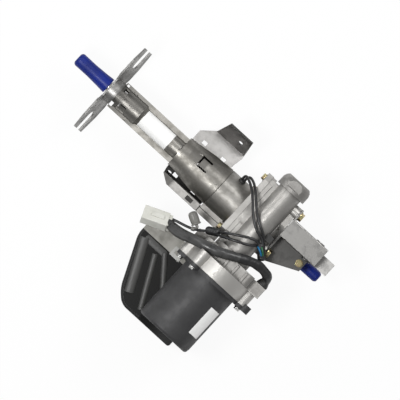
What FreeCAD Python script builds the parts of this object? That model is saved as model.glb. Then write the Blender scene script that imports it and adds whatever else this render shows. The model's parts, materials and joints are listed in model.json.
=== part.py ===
import FreeCAD, Part
import math
import os

# Electric power steering column. X runs down the column, Z faces the viewer, the motor hangs toward -Y.
# The origin is where the column's axis crosses the upper mounting plate. All lengths are millimetres.

V = FreeCAD.Vector
ALONG = V(1, 0, 0)
ACROSS = V(0, 1, 0)
UP = V(0, 0, 1)
ORIGIN = V(0, 0, 0)

# Clearances
running_gap = 0.06
loose_gap = 0.4
twist_room = 0.5
cap_gap = 0.2
unit_gap = 2.5

# Stations down the column
lower_jacket_start = 134.0
lower_jacket_length = 80.0
sensor_length = 42.0
flange_thickness = 9.5
worm_offset = 33.5
chamber_half = 16.0
cover_wall = 17.0
neck_length = 26.0
collapse = 50.0
sensor_start = lower_jacket_start + lower_jacket_length
flange_start = sensor_start + sensor_length
cover_start = flange_start + flange_thickness
worm_x = cover_start + worm_offset
chamber_start = worm_x - chamber_half
chamber_end = worm_x + chamber_half
neck_end = chamber_end + neck_length

# Shafts
shaft_r = 8.5
spline_root_r = 7.4
spline_teeth = 12
upper_shaft_tip = -60.0
thread_r = 6.5
input_shaft_r = 12.0
input_shaft_start = lower_jacket_start - 30.0
upper_shaft_end = input_shaft_start + 62.0
spline_start = input_shaft_start - collapse - 4.0
input_neck_r = 10.0
pilot_r = 8.0
pilot_length = 12.0
bar_head_r = 4.5
bar_waist_r = 3.2
bar_start = sensor_start + 10.0
bar_length = 104.0
output_cup_r = 11.5
output_seat_r = 12.5
output_tail_r = 7.0
output_end = worm_x + 111.0
hub_seat_r = 14.5
pin_r = 1.8
upper_pin_reach = input_neck_r - 0.2
lower_pin_reach = output_seat_r - 0.2
stop_key_width = 4.0
stop_angle = 5.0

# Worm gear
wheel_teeth = 41
worm_starts = 2
module = 1.854
worm_pitch_r = 8.0
gear_width = 16.0
worm_length = 36.0
backlash = 0.5
hub_r = 26.0
worm_seat_y = 40.0
centre_distance = module * wheel_teeth / 2 + worm_pitch_r
wheel_pitch_r = module * wheel_teeth / 2
lead = math.pi * module * worm_starts
lead_angle = math.atan(module * worm_starts / (2 * worm_pitch_r))

# Gear housing
chamber_r = 42.5
housing_wall = 5.0
neck_r = 28.0
worm_tube_r = 20.0
worm_bore_r = 13.0
worm_tube_right = 66.0
worm_tube_left = -64.5
end_cap_r = 25.0
end_cap_length = 22.0
spring_room = 5.0
flange_right = 67.0
flange_left = -50.0
flange_bottom = -36.0
flange_top = 46.0
flange_bolt_r = 3.0
worm_flange_r = 30.0
worm_flange_thickness = 8.0
saddle_half = 17.0
web_low = 6.0
web_high = 24.0

# Ball bearings: bore radius, outer radius, width
output_bearing_outer_r = 23.5
output_bearing_width = 11.0
upper_bearing_x = cover_start + 8.5
lower_bearing_x = chamber_end + 6.0
worm_bearing_bore_r = 5.0
worm_bearing_width = 8.0
column_bearing_outer_r = 15.0
column_bearing_width = 7.0

# Motor
motor_r = 46.4
motor_wall = 2.0
adaptor_front = -84.0
adaptor_back = -108.0
motor_flange_thickness = 6.0
motor_end = -218.0
rotor_r = 24.0
air_gap = 0.8
motor_bolt_circle_r = 58.0
adaptor_r = 53.0
motor_bolt_angles = (0.0, 125.0, 180.0, 300.0)
motor_bolt_r = 2.5
motor_ear_r = 8.0
motor_shaft_r = 7.0
motor_front_bearing_y = adaptor_back + 5.0
motor_rear_bearing_y = motor_end + 8.0
lug_reach = 67.0
lug_length = 12.0
coupling_gap_y = -76.0
claw_length = 8.0
stator_start = -192.0
stator_length = 58.0
rotor_start = -190.0
rotor_length = 54.0
gland_r = 8.0
gland_x = worm_x + 62.0
gland_y = -66.0
narrow_half = 47.0

# Control unit
unit_top = 20.0
unit_bottom = -62.0
unit_wall = 2.5
unit_base_thickness = 14.0
heat_sink_depth = 13.0
unit_end = -228.0
unit_left = worm_x - 127.0
unit_right = worm_x + 47.0
unit_shelf_depth = 20.0
unit_slant_start = adaptor_back - 25.0
unit_slant = 24.3
unit_slant_length = 84.0
unit_corner = 16.0
unit_step_x = worm_x + 21.0
unit_step = 14.0
board_z = -38.4

# Jackets, sheet thicknesses
sheet = 2.0
thick_sheet = 3.0
hump_r = 15.0
fin_half = 23.4
fin_start = 8.0
head_r = 18.0
head_start = 8.0
head_end = 54.0
upper_jacket_end = 158.0
upper_bearing_station = 17.0
lower_mouth_r = 26.5
lower_end_r = 33.0
jacket_collar = 0.8
sensor_r = 33.5
lead_exit_x = sensor_start + 20.0
lead_exit_angle = 28.0

# Ears beside the lower jacket, in Y and Z where they are folded
ear_start = lower_jacket_start + 2.0
ear_end = sensor_start - 2.5
right_ear_fold = [(22, 3), (60, -16), (83, 14.7)]
left_ear_fold = [(-26, 4), (-37, -12), (-50, -12)]
ear_hole_r = 4.2
right_ear_hole = V(sensor_start - 20.4, 71.5, -0.65)
right_ear_normal = V(0, -0.8, 0.6)
left_ear_hole = V(lower_jacket_start + 10.5, -32.6, -5.6)
left_ear_normal = V(0, -16, 11).normalize()
notch_first = lower_jacket_start + 20.0
notch_last = sensor_start - 23.0
right_notch_y = 34.5
left_notch_y = -30.5

# Upper plate
plate_half_width = 79.0
plate_half_depth = 24.0
plate_tilt = 18.0
slot_width = 20.0
slot_depth = 26.0

# Lower bracket
bracket_seat_x = worm_x + 31.0
bracket_boss_r = 10.0
bracket_bolt_r = 4.0
bracket_bolt_places = [(49.6, 38.0), (-23.0, 40.0)]
bracket_sheet = 3.0
channel_low = 8.0
channel_high = 41.0
channel_top = 50.0
channel_end = worm_x + 101.0
gusset_low = 28.0
gusset_bolt_x = worm_x + 81.0
pivot_x = worm_x + 84.7
pivot_z = 41.0
pivot_bore_r = 5.1
bush_r = 7.5

# Cords. A route's points are measured from the foot of the worm's axis, (worm_x, 0, 0).
sleeve_diameter = 13.0
lead_diameter = 3.8
power_route = [(62, -58, 46), (62.3, -52.8, 49.8), (58.5, -48.8, 56.5), (50, -46.8, 64), (39, -46.3, 71),
               (26.5, -48.6, 77.5), (14, -53, 82.7), (1, -59, 86.7), (-12.5, -65.3, 89), (-26.5, -71.3, 90.1),
               (-40.5, -76, 89), (-53.5, -78.5, 83.7), (-65, -81, 73.5), (-75.5, -84, 60), (-85.5, -86.3, 47.5),
               (-95, -88.4, 38), (-105.2, -90.4, 33)]
sensor_route = [(-67.2, 32.7, 17.4), (-67.2, 37.6, 20), (-65.6, 40.2, 26.5), (-61, 39.4, 35), (-54, 36, 43.8),
                (-45, 30.3, 52), (-34.5, 20.5, 60), (-23, 8, 67.5), (-11, -2.5, 71), (0.5, -9.5, 71),
                (9.5, -12, 68.8), (17, -14.2, 65.6), (23.3, -20.5, 64.2)]
second_sensor_route = [(-62.8, 32.7, 17.4), (-62.7, 38, 20.2), (-61.2, 42, 26), (-57, 42.8, 34.5),
                       (-50.2, 40.2, 43.8), (-42, 34.5, 52.5), (-31, 24, 60), (-19, 12, 66.5), (-6.5, 2.5, 70.8),
                       (5.5, -3.5, 70.3), (13.5, -7.5, 66.5), (18.5, -13, 61.5), (22.7, -19.9, 58.8)]
control_route = [(-45, -51.5, 47), (-37, -47.5, 58), (-29, -42.5, 66), (-18, -35.5, 71), (-6, -28.5, 72.5),
                 (5, -23, 70.5), (13, -20.5, 67), (19.5, -24.3, 64.2)]
second_control_route = [(-45, -56, 47), (-37, -53.5, 57), (-29, -50, 65), (-18, -45, 70.5), (-6, -40, 72),
                        (4, -35.5, 70.5), (12.5, -30, 66), (19.2, -24.5, 59.5)]
branch_route = [(-107, -83.7, 29), (-97, -80.3, 30.5), (-87, -77.8, 32), (-76, -74.6, 34.5), (-66, -69.8, 38),
                (-58, -64, 41.8), (-51, -58.5, 45)]
joint_start = V(18.5, -19.5, 62.5)
joint_finish = V(37, -38, 58)
clump_start = V(-56, -60, 43)
clump_finish = V(-42, -52, 49)
joint_r = 6.5
clump_r = 5.5
connector_turn = 23.0
connector_roll = -33.0
connector_length = 40.0
connector_half_width = 12.0
connector_half_height = 8.5
connector_place = V(-105.6, -90.7, 32)
clip_start = V(-90, -54.5, 41)
clip_finish = V(-67, -66.5, 40)


WORM_FOOT = V(worm_x, 0, 0)


def rod(radius, start, direction, length):
    return Part.makeCylinder(radius, length, start, direction)


def tube(outer, inner, start, direction, length):
    return rod(outer, start, direction, length).cut(rod(inner, start, direction, length))


def block(x0, x1, y0, y1, z0, z1):
    return Part.makeBox(x1 - x0, y1 - y0, z1 - z0, V(x0, y0, z0))


def joined(solids):
    result = solids[0].multiFuse(list(solids[1:]))
    return result.removeSplitter()


def turned(profile, centre=ORIGIN, direction=ALONG):
    """Revolve (station, radius) pairs about a line through centre."""
    side = ACROSS if abs(direction.dot(ACROSS)) < 0.5 else UP
    corners = [centre + direction * station + side * radius for station, radius in profile]
    face = Part.Face(Part.makePolygon(corners + corners[:1]))
    return face.revolve(centre, direction, 360)


def plate_xy(corners, low, high):
    points = [V(x, y, low) for x, y in corners]
    return Part.Face(Part.makePolygon(points + points[:1])).extrude(V(0, 0, high - low))


def plate_yz(corners, start, length):
    points = [V(start, y, z) for y, z in corners]
    return Part.Face(Part.makePolygon(points + points[:1])).extrude(V(length, 0, 0))


def star_prism(root_r, tip_r, teeth, start, length):
    """A straight-toothed spline along X."""
    corners = []
    pitch = 2 * math.pi / teeth
    for tooth in range(teeth):
        for share, radius in ((-0.28, root_r), (-0.18, tip_r), (0.18, tip_r), (0.28, root_r)):
            angle = (tooth + share) * pitch
            corners.append((radius * math.cos(angle), radius * math.sin(angle)))
    return plate_yz(corners, start, length)


def hex_bolt(point, direction, thread, grip, head, height):
    """A flanged hexagon bolt whose head stands on point and whose shank runs along direction."""
    side = ACROSS if abs(direction.dot(ACROSS)) < 0.5 else ALONG
    other = direction.cross(side)
    corners = []
    for corner in range(6):
        angle = math.radians(60 * corner)
        corners.append(point + side * (head * math.cos(angle)) + other * (head * math.sin(angle)))
    hexagon = Part.Face(Part.makePolygon(corners + corners[:1])).extrude(direction * -height)
    washer = rod(head * 1.2, point, direction * -1, height * 0.25)
    return joined([hexagon, washer, rod(thread, point, direction, grip)])


def ball_bearing(centre, direction, bore, outer, width, balls):
    """Outer ring, inner ring and balls of a deep-groove bearing, centred on centre."""
    middle = (bore + outer) / 2
    ball_r = (outer - bore) * 0.3
    ring = (outer - bore) * 0.28
    start = centre - direction * (width / 2)
    groove = Part.makeTorus(middle, ball_r + 0.12, centre, direction)
    outer_ring = tube(outer, outer - ring, start, direction, width).cut(groove)
    inner_ring = tube(bore + ring, bore, start, direction, width).cut(groove)
    side = UP if abs(direction.dot(UP)) < 0.5 else ALONG
    pieces = []
    for ball in range(balls):
        turn = FreeCAD.Rotation(direction, 360.0 * ball / balls)
        pieces.append(Part.makeSphere(ball_r, centre + turn.multVec(side * middle)))
    return outer_ring, inner_ring, pieces


def cord(name, points, diameter):
    """Sweep a round section along straight runs joined by tangent arcs."""
    places = [V(*point) + WORM_FOOT for point in points]
    edges = []
    radii = []
    last = places[0]
    for before, corner, after in zip(places, places[1:], places[2:]):
        inward = corner - before
        outward = after - corner
        run = min(inward.Length, outward.Length)
        turn = inward.getAngle(outward)
        reach = 0.45 * run
        radii.append(reach / math.tan(turn / 2))
        enter = corner - inward.normalize() * reach
        leave = corner + outward.normalize() * reach
        bisector = (enter + leave) * 0.5 - corner
        half = turn / 2
        radius = radii[-1]
        centre = corner + bisector.normalize() * (radius / math.cos(half))
        middle = centre + (corner - centre).normalize() * radius
        edges.append(Part.LineSegment(last, enter).toShape())
        edges.append(Part.Arc(enter, middle, leave).toShape())
        last = leave
    edges.append(Part.LineSegment(last, places[-1]).toShape())
    wire = Part.Wire(edges)
    section = Part.Wire(Part.makeCircle(diameter / 2, places[0], places[1] - places[0]))
    solid = wire.makePipeShell([section], True, True)
    expected = math.pi * diameter ** 2 / 4 * wire.Length
    print(name, "length", round(wire.Length, 1), "volume ratio", round(solid.Volume / expected, 4),
          "radii in diameters", [round(radius / diameter, 1) for radius in radii])
    return solid


def make_upper_shaft():
    body = turned([(upper_shaft_tip, 0), (upper_shaft_tip, thread_r - 1), (upper_shaft_tip + 1, thread_r),
                   (upper_shaft_tip + 16, thread_r), (upper_shaft_tip + 18, shaft_r - 0.4),
                   (upper_shaft_tip + 40, shaft_r), (spline_start, shaft_r), (spline_start, 0)])
    spline = star_prism(spline_root_r, shaft_r, spline_teeth, spline_start, upper_shaft_end - spline_start)
    return joined([body, spline])


def make_input_shaft():
    tail = flange_start + 8
    body = turned([(input_shaft_start, 0), (input_shaft_start, input_shaft_r), (sensor_start - 6, input_shaft_r),
                   (sensor_start - 2, input_neck_r), (tail - pilot_length, input_neck_r),
                   (tail - pilot_length, pilot_r), (tail, pilot_r), (tail, 0)])
    socket_end = upper_shaft_end + collapse + 3
    socket = star_prism(spline_root_r + running_gap, shaft_r + running_gap, spline_teeth, input_shaft_start,
                        socket_end - input_shaft_start)
    mouth = rod(shaft_r + loose_gap, V(input_shaft_start, 0, 0), ALONG, 4)
    bar_bore = rod(bar_head_r + running_gap, V(bar_start - 1, 0, 0), ALONG, tail - bar_start + 2)
    pin_hole = rod(pin_r, V(bar_start + 6, -input_neck_r, 0), ACROSS, 2 * input_neck_r)
    key = block(tail - 8, tail - 1, -output_cup_r + 1, output_cup_r - 1, -stop_key_width / 2, stop_key_width / 2)
    body = body.fuse(key)
    return body.cut(socket).cut(mouth).cut(bar_bore).cut(pin_hole)


def make_torsion_bar():
    head = 14
    end = bar_start + bar_length
    bar = turned([(bar_start, 0), (bar_start, bar_head_r), (bar_start + head, bar_head_r),
                  (bar_start + head + 4, bar_waist_r), (end - head - 4, bar_waist_r), (end - head, bar_head_r),
                  (end, bar_head_r), (end, 0)])
    room = rod(pin_r + twist_room, V(bar_start + 6, -bar_head_r - 1, 0), ACROSS, 2 * bar_head_r + 2)
    low_pin = rod(pin_r, V(end - 6, -bar_head_r - 1, 0), ACROSS, 2 * bar_head_r + 2)
    return bar.cut(room).cut(low_pin)


def make_output_shaft():
    cup_start = flange_start - 3
    cup_depth = flange_start + 9
    bearing_low = chamber_end + 12
    body = turned([(cup_start, 0), (cup_start, output_cup_r), (cover_start + 3, output_cup_r),
                   (cover_start + 3, output_seat_r), (chamber_start + 2, output_seat_r),
                   (chamber_start + 2, hub_seat_r + 3), (chamber_start + 5, hub_seat_r + 3),
                   (chamber_start + 5, hub_seat_r), (chamber_end - 3, hub_seat_r),
                   (chamber_end - 3, output_seat_r), (bearing_low + 1, output_seat_r),
                   (bearing_low + 5, output_tail_r + 1), (neck_end + 4, output_tail_r + 1),
                   (neck_end + 6, output_tail_r), (output_end - 1, output_tail_r), (output_end, output_tail_r - 1),
                   (output_end, 0)])
    pilot = rod(pilot_r + running_gap, V(cup_start, 0, 0), ALONG, cup_depth - cup_start)
    bar_bore = rod(bar_head_r, V(cup_depth, 0, 0), ALONG, bar_start + bar_length - cup_depth)
    pin_hole = rod(pin_r, V(bar_start + bar_length - 6, -output_seat_r, 0), ACROSS, 2 * output_seat_r)
    play = stop_key_width + 2 * output_cup_r * math.tan(math.radians(stop_angle + 1))
    slot = block(cup_start, cup_depth, -output_cup_r - 1, output_cup_r + 1, -play / 2, play / 2)
    groove = star_groove(output_tail_r, output_end - 46, 40)
    return body.cut(pilot).cut(bar_bore).cut(pin_hole).cut(slot).cut(groove)


def star_groove(radius, start, length):
    """The ring of fine teeth cut away round a serrated shaft end."""
    around = rod(radius + 1, V(start, 0, 0), ALONG, length)
    return around.cut(star_prism(radius - 0.8, radius, 36, start, length))


def make_pin(station, reach):
    return rod(pin_r, V(station, -reach, 0), ACROSS, 2 * reach)


def make_wheel_hub():
    start = worm_x - gear_width / 2
    hub = tube(hub_r, hub_seat_r, V(start, 0, 0), ALONG, gear_width)
    relief = tube(hub_r - 4, hub_seat_r + 4, V(start, 0, 0), ALONG, 3)
    return hub.cut(relief)


def wheel_section(station, twist):
    """One closed outline of the wheel's teeth, turned by the helix."""
    tip = wheel_pitch_r + 0.9 * module
    root = wheel_pitch_r - 1.15 * module
    pitch = 2 * math.pi / wheel_teeth
    play = backlash / wheel_pitch_r / 2
    points = []
    for tooth in range(wheel_teeth):
        for share, radius in ((-0.39, root), (-0.13, tip), (0.13, tip), (0.39, root)):
            trim = play if share > 0 else -play
            angle = (tooth + 0.5 + share) * pitch - trim + twist
            points.append(V(station, -radius * math.sin(angle), radius * math.cos(angle)))
    return Part.makePolygon(points + points[:1])


def make_wheel_rim():
    half = gear_width / 2
    twist = math.tan(lead_angle) * half / wheel_pitch_r
    sections = [wheel_section(worm_x - half, -twist), wheel_section(worm_x, 0), wheel_section(worm_x + half, twist)]
    teeth = Part.makeLoft(sections, True, True)
    return teeth.cut(rod(hub_r, V(worm_x - half, 0, 0), ALONG, gear_width))


def make_worm_shaft():
    """Worm with two starts. Its thread centre crosses the mesh point where the wheel has a gap."""
    centre = V(worm_x, 0, centre_distance)
    root = worm_pitch_r - 1.15 * module
    tip = worm_pitch_r + 0.9 * module
    seat = worm_bearing_bore_r
    far = worm_seat_y + worm_bearing_width / 2
    core = turned([(coupling_gap_y + 1, 0), (coupling_gap_y + 1, seat - 0.6), (-far, seat - 0.6), (-far, seat),
                   (-far + worm_bearing_width, seat), (-far + worm_bearing_width, seat + 2),
                   (-worm_length / 2 - 6, seat + 2), (-worm_length / 2, root), (worm_length / 2, root),
                   (worm_length / 2 + 6, seat + 2), (far - worm_bearing_width, seat + 2),
                   (far - worm_bearing_width, seat), (far + 1, seat), (far + 1, 0)], centre, ACROSS)
    height = worm_length - 4
    threads = []
    for start in range(worm_starts):
        threads.append(worm_thread(centre, root - 0.4, tip, height, 360.0 * start / worm_starts))
    return joined([core] + threads)


def worm_thread(centre, root, tip, height, phase):
    """A trapezoid swept along a helix about the worm's axis."""
    foot = (0.39 - 0.02) * math.pi * module - backlash / 2
    crest = 0.13 * math.pi * module
    helix = Part.makeHelix(lead, height, worm_pitch_r)
    section = Part.makePolygon([V(root, 0, -foot), V(tip, 0, -crest), V(tip, 0, crest), V(root, 0, foot),
                                V(root, 0, -foot)])
    pipe = Part.Wire(helix).makePipeShell([section], True, True)
    pipe.translate(V(0, 0, -height / 2))
    swing = 360.0 * (height / 2) / lead
    pipe.rotate(ORIGIN, UP, -swing)
    turn = FreeCAD.Rotation(ALONG, -90)
    pipe.Placement = FreeCAD.Placement(ORIGIN, turn).multiply(pipe.Placement)
    down = FreeCAD.Placement(ORIGIN, FreeCAD.Rotation(ACROSS, 90 + phase))
    pipe.Placement = down.multiply(pipe.Placement)
    pipe.translate(centre)
    return pipe


def worm_point(y):
    return V(worm_x, y, centre_distance)


def flange_outline(right, left, low, high):
    """Outline of the bolted flange between the sensor housing and the gear housing, in Y and Z."""
    return [(right, 22), (right, 38), (right - 12, high), (left + 10, high), (left, 36), (left, 12),
            (left + 10, low), (right - 26, low), (right - 8, 8)]


def make_gear_cover():
    """The flange under the sensor housing and the wall that carries the upper output bearing."""
    outline = flange_outline(flange_right, flange_left, flange_bottom, flange_top)
    flange = plate_yz(outline, flange_start, flange_thickness)
    spigot = rod(chamber_r - 0.2, V(cover_start, 0, 0), ALONG, cover_wall)
    body = joined([flange, spigot])
    shaft_bore = rod(output_cup_r + 1, V(flange_start, 0, 0), ALONG, cover_wall + flange_thickness)
    seat = rod(output_bearing_outer_r, V(upper_bearing_x - output_bearing_width / 2, 0, 0), ALONG, 40)
    return body.cut(shaft_bore).cut(seat).cut(joined(flange_bolt_holes()))


def flange_bolt_places():
    return [(flange_right - 9.5, 33), (flange_left + 8, 24), (flange_right - 34, -27), (flange_left + 18, -29)]


def flange_bolt_holes():
    return [rod(flange_bolt_r, V(flange_start - 1, y, z), ALONG, 2 * flange_thickness + 6)
            for y, z in flange_bolt_places()]


def make_flange_bolts():
    return [hex_bolt(V(flange_start, y, z), ALONG, flange_bolt_r, flange_thickness + 9, 5, 5)
            for y, z in flange_bolt_places()]


def make_gear_housing():
    """The cast housing: wheel chamber, output neck and the worm tube across the front."""
    chamber = rod(chamber_r + housing_wall, V(cover_start, 0, 0), ALONG, chamber_end + 5 - cover_start)
    neck = turned([(chamber_end, 0), (chamber_end, neck_r + 6), (chamber_end + 8, neck_r + 3),
                   (chamber_end + 14, neck_r), (neck_end, neck_r - 1), (neck_end, 0)])
    worm_tube = rod(worm_tube_r, worm_point(worm_tube_left), ACROSS, worm_tube_right - worm_tube_left)
    saddle = block(worm_x - saddle_half, worm_x + saddle_half, -38, 38, 18, centre_distance)
    outline = flange_outline(flange_right - 1, flange_left + 1, flange_bottom + 1, flange_top - 1)
    mate = plate_yz(outline, cover_start, 7)
    mate = mate.cut(rod(chamber_r, V(cover_start, 0, 0), ALONG, 9))
    gusset = block(cover_start, worm_x, flange_left + 6, flange_right - 4, 24, 44)
    root = rod(worm_flange_r, worm_point(worm_tube_left), ACROSS, worm_flange_thickness)
    boss_length = bracket_seat_x - worm_x
    bosses = [rod(bracket_boss_r, V(worm_x, y, z), ALONG, boss_length) for y, z in bracket_bolt_places]
    left_web = block(cover_start, worm_x, worm_tube_left, flange_left + 8, web_low, web_high)
    right_web = block(worm_x + 10, bracket_seat_x - 0.5, 22, 42, centre_distance - 16, centre_distance)
    ribs = [block(chamber_end, neck_end - 6, -2, 2, -neck_r - 8, -neck_r + 2),
            block(chamber_end, neck_end - 6, -neck_r - 8, -neck_r + 2, -2, 2)]
    body = joined([chamber, neck, worm_tube, saddle, mate, gusset, root, left_web, right_web] + bosses + ribs)
    room = rod(chamber_r, V(cover_start - 1, 0, 0), ALONG, chamber_end - cover_start + 1)
    seat = rod(output_bearing_outer_r, V(chamber_end - 1, 0, 0), ALONG, 18)
    mouth = rod(output_cup_r + 2.5, V(chamber_end, 0, 0), ALONG, neck_length + 20)
    worm_bore = rod(worm_bore_r, worm_point(worm_tube_left - 1), ACROSS, worm_tube_right - worm_tube_left + 2)
    threads = [rod(bracket_bolt_r, V(bracket_seat_x - 14, y, z), ALONG, 20) for y, z in bracket_bolt_places]
    cuts = [room, seat, mouth, worm_bore] + threads + flange_bolt_holes()
    return body.cut(joined_cut(cuts))


def joined_cut(solids):
    return solids[0].multiFuse(list(solids[1:]))


def make_worm_end_cap():
    """Round plug that closes the worm tube and presses the worm's bearing, with a flat for marking."""
    end = worm_tube_right + end_cap_length
    head = turned([(worm_tube_right, 0), (worm_tube_right, end_cap_r), (end - 9, end_cap_r),
                   (end - 4, end_cap_r - 1.8), (end - 1, end_cap_r - 4.5), (end, end_cap_r - 6), (end, 0)],
                  worm_point(0), ACROSS)
    plug_start = worm_seat_y + worm_bearing_width / 2 + spring_room
    plug = rod(worm_bore_r - running_gap, worm_point(plug_start), ACROSS, worm_tube_right - plug_start)
    body = joined([head, plug])
    hollow_r = end_cap_r - 8
    hollow = rod(hollow_r, worm_point(worm_tube_right + 8), ACROSS, end_cap_length)
    bar = block(worm_x - 3, worm_x + 3, worm_tube_right + 4, end - 2, centre_distance - hollow_r,
                centre_distance + hollow_r)
    flat = block(worm_x - 14, worm_x + 14, worm_tube_right + 6, end + 1, centre_distance + end_cap_r - 3,
                 centre_distance + end_cap_r + 1)
    return joined([body.cut(hollow), bar]).cut(flat)


def make_preload_spring():
    """Conical washer between the end cap's plug and the worm's outer bearing ring."""
    start = worm_seat_y + worm_bearing_width / 2
    return turned([(start, worm_bore_r - 1), (start, worm_bore_r - 3), (start + spring_room, 7),
                   (start + spring_room, 9)], worm_point(0), ACROSS)


def make_output_bearings():
    upper = ball_bearing(V(upper_bearing_x, 0, 0), ALONG, output_seat_r, output_bearing_outer_r,
                         output_bearing_width, 9)
    lower = ball_bearing(V(lower_bearing_x, 0, 0), ALONG, output_seat_r, output_bearing_outer_r,
                         output_bearing_width, 9)
    return [upper[0], lower[0]], [upper[1], lower[1]], upper[2] + lower[2]


def make_drive_bearings():
    """Two bearings on the worm and two on the motor shaft."""
    outers = []
    inners = []
    balls = []
    for y in (-worm_seat_y, worm_seat_y, motor_front_bearing_y, motor_rear_bearing_y):
        outer, inner, set_of_balls = ball_bearing(worm_point(y), ACROSS, worm_bearing_bore_r, worm_bore_r,
                                                  worm_bearing_width, 8)
        outers.append(outer)
        inners.append(inner)
        balls += set_of_balls
    return outers, inners, balls


def make_shaft_seal():
    """Lip seal that closes the output neck round the shaft."""
    start = neck_end - 6
    shell = tube(output_cup_r + 2.5, output_tail_r + 1 + running_gap, V(start, 0, 0), ALONG, 5)
    return shell


def coupling_claws(start, direction, phase):
    """A hub with three claws that reach between the spider's arms."""
    hub = tube(16, worm_bearing_bore_r - 0.6, worm_point(start), direction, 6)
    claws = []
    for claw in range(3):
        wedge = tube(16, 9.5, worm_point(start), direction, 6 + claw_length)
        keep = block(worm_x + 6, worm_x + 18, start - 20, start + 20, centre_distance - 3, centre_distance + 3)
        keep.rotate(worm_point(0), ACROSS, 120 * claw + phase)
        claws.append(wedge.common(keep))
    return joined([hub] + claws)


def make_coupling_hubs():
    """The worm's hub and the motor's hub face each other round the spider."""
    return (coupling_claws(coupling_gap_y + 4.5 + 6, ACROSS * -1, 0),
            coupling_claws(coupling_gap_y - 4.5 - 6, ACROSS, 60))


def make_coupling_spider():
    arms = [tube(8, worm_bearing_bore_r, worm_point(coupling_gap_y - claw_length / 2), ACROSS, claw_length)]
    for arm in range(6):
        bar = block(worm_x + 7, worm_x + 15.5, coupling_gap_y - claw_length / 2, coupling_gap_y + claw_length / 2,
                    centre_distance - 1.5, centre_distance + 1.5)
        bar.rotate(worm_point(0), ACROSS, 60 * arm + 30)
        arms.append(bar)
    return joined(arms)


def motor_bolt_points(y):
    points = []
    for angle in motor_bolt_angles:
        turn = math.radians(angle)
        points.append(V(worm_x + motor_bolt_circle_r * math.cos(turn), y,
                        centre_distance + motor_bolt_circle_r * math.sin(turn)))
    return points


def eared_disc(radius, ear_r, y, length):
    """A disc round the motor's axis with an ear at each motor bolt."""
    pieces = [rod(radius, worm_point(y), ACROSS, length)]
    for point in motor_bolt_points(y):
        pieces.append(rod(ear_r, point, ACROSS, length))
        middle = worm_point(y)
        bridge = Part.makeBox(motor_bolt_circle_r, length, 2 * ear_r, V(0, 0, -ear_r))
        angle = math.degrees(math.atan2(point.z - middle.z, point.x - middle.x))
        bridge.rotate(ORIGIN, ACROSS, -angle)
        bridge.translate(middle)
        pieces.append(bridge)
    return joined(pieces)


def make_adaptor():
    """Cast adaptor: broad tier on the motor side, ribbed narrow tier on the worm side."""
    broad = eared_disc(adaptor_r, motor_ear_r, adaptor_back, adaptor_front - adaptor_back)
    narrow = block(worm_x - narrow_half, worm_x + narrow_half + 1, adaptor_front, worm_tube_left, centre_distance - 32,
                   centre_distance + 32)
    narrow = narrow.makeFillet(9, [e for e in narrow.Edges if abs(e.tangentAt(e.FirstParameter).y) > 0.99])
    boss = block(worm_x + 40, gland_x + 9, adaptor_front - 1, gland_y, centre_distance - 12,
                 centre_distance + 12)
    foot = block(worm_x - 34, worm_x + 34, adaptor_back, adaptor_front, -unit_shelf_depth, 6)
    shelf = block(worm_x - 64, worm_x - 30, adaptor_front, worm_tube_left, web_low, web_high)
    shelf_ear = block(worm_x - 52, worm_x - 35, worm_tube_left - 1, flange_left - 2, web_low, web_high)
    ribs = [block(worm_x + offset, worm_x + offset + 4, adaptor_front, worm_tube_left - 2, centre_distance + 20,
                  centre_distance + 34.5) for offset in (-36, -19, -2, 15, 32)]
    body = joined([broad, narrow, boss, foot, shelf, shelf_ear] + ribs)
    room = rod(22, worm_point(adaptor_back + 12), ACROSS, 60)
    seat = rod(worm_bore_r, worm_point(adaptor_back - 1), ACROSS, 14)
    gland_hole = rod(gland_r, V(gland_x, gland_y - 12, centre_distance), ACROSS, 14)
    holes = [rod(motor_bolt_r, point, ACROSS, 30) for point in motor_bolt_points(adaptor_back - 1)]
    return body.cut(joined_cut([room, seat, gland_hole] + holes))


def make_motor_flange():
    y = adaptor_back - motor_flange_thickness
    plate = eared_disc(adaptor_r - 1, motor_ear_r, y, motor_flange_thickness)
    hole = rod(worm_bore_r + 4, worm_point(y - 1), ACROSS, 20)
    holes = [rod(motor_bolt_r, point, ACROSS, 30) for point in motor_bolt_points(y - 1)]
    lug = rod(motor_ear_r, V(worm_x + lug_reach, y, centre_distance), ACROSS, lug_length)
    lug = lug.cut(rod(motor_ear_r + loose_gap, V(worm_x + motor_bolt_circle_r, adaptor_back, centre_distance),
                      ACROSS, lug_length))
    return joined([plate, lug]).cut(joined_cut([hole] + holes))


def make_motor_can():
    """Deep-drawn can, closed at the far end by a stepped cup for the rear bearing."""
    front = adaptor_back - motor_flange_thickness
    length = front - motor_end
    shell = rod(motor_r, worm_point(motor_end), ACROSS, length)
    shell = shell.makeFillet(5, [e for e in shell.Edges if abs(e.CenterOfMass.y - motor_end) < 0.01
                                 and e.Curve.TypeId == "Part::GeomCircle"])
    inner = rod(motor_r - motor_wall, worm_point(motor_end + motor_wall + 2), ACROSS, length)
    cup = tube(worm_bore_r + 3, worm_bore_r, worm_point(motor_end + motor_wall), ACROSS, 12)
    pocket = rod(20, worm_point(motor_end - 0.5), ACROSS, 1.5)
    return joined([shell.cut(inner).cut(pocket), cup])


def make_motor_bolts():
    y = adaptor_back - motor_flange_thickness
    return [hex_bolt(point, ACROSS, motor_bolt_r, motor_flange_thickness + 18, 4.6, 4.5)
            for point in motor_bolt_points(y)]


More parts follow.
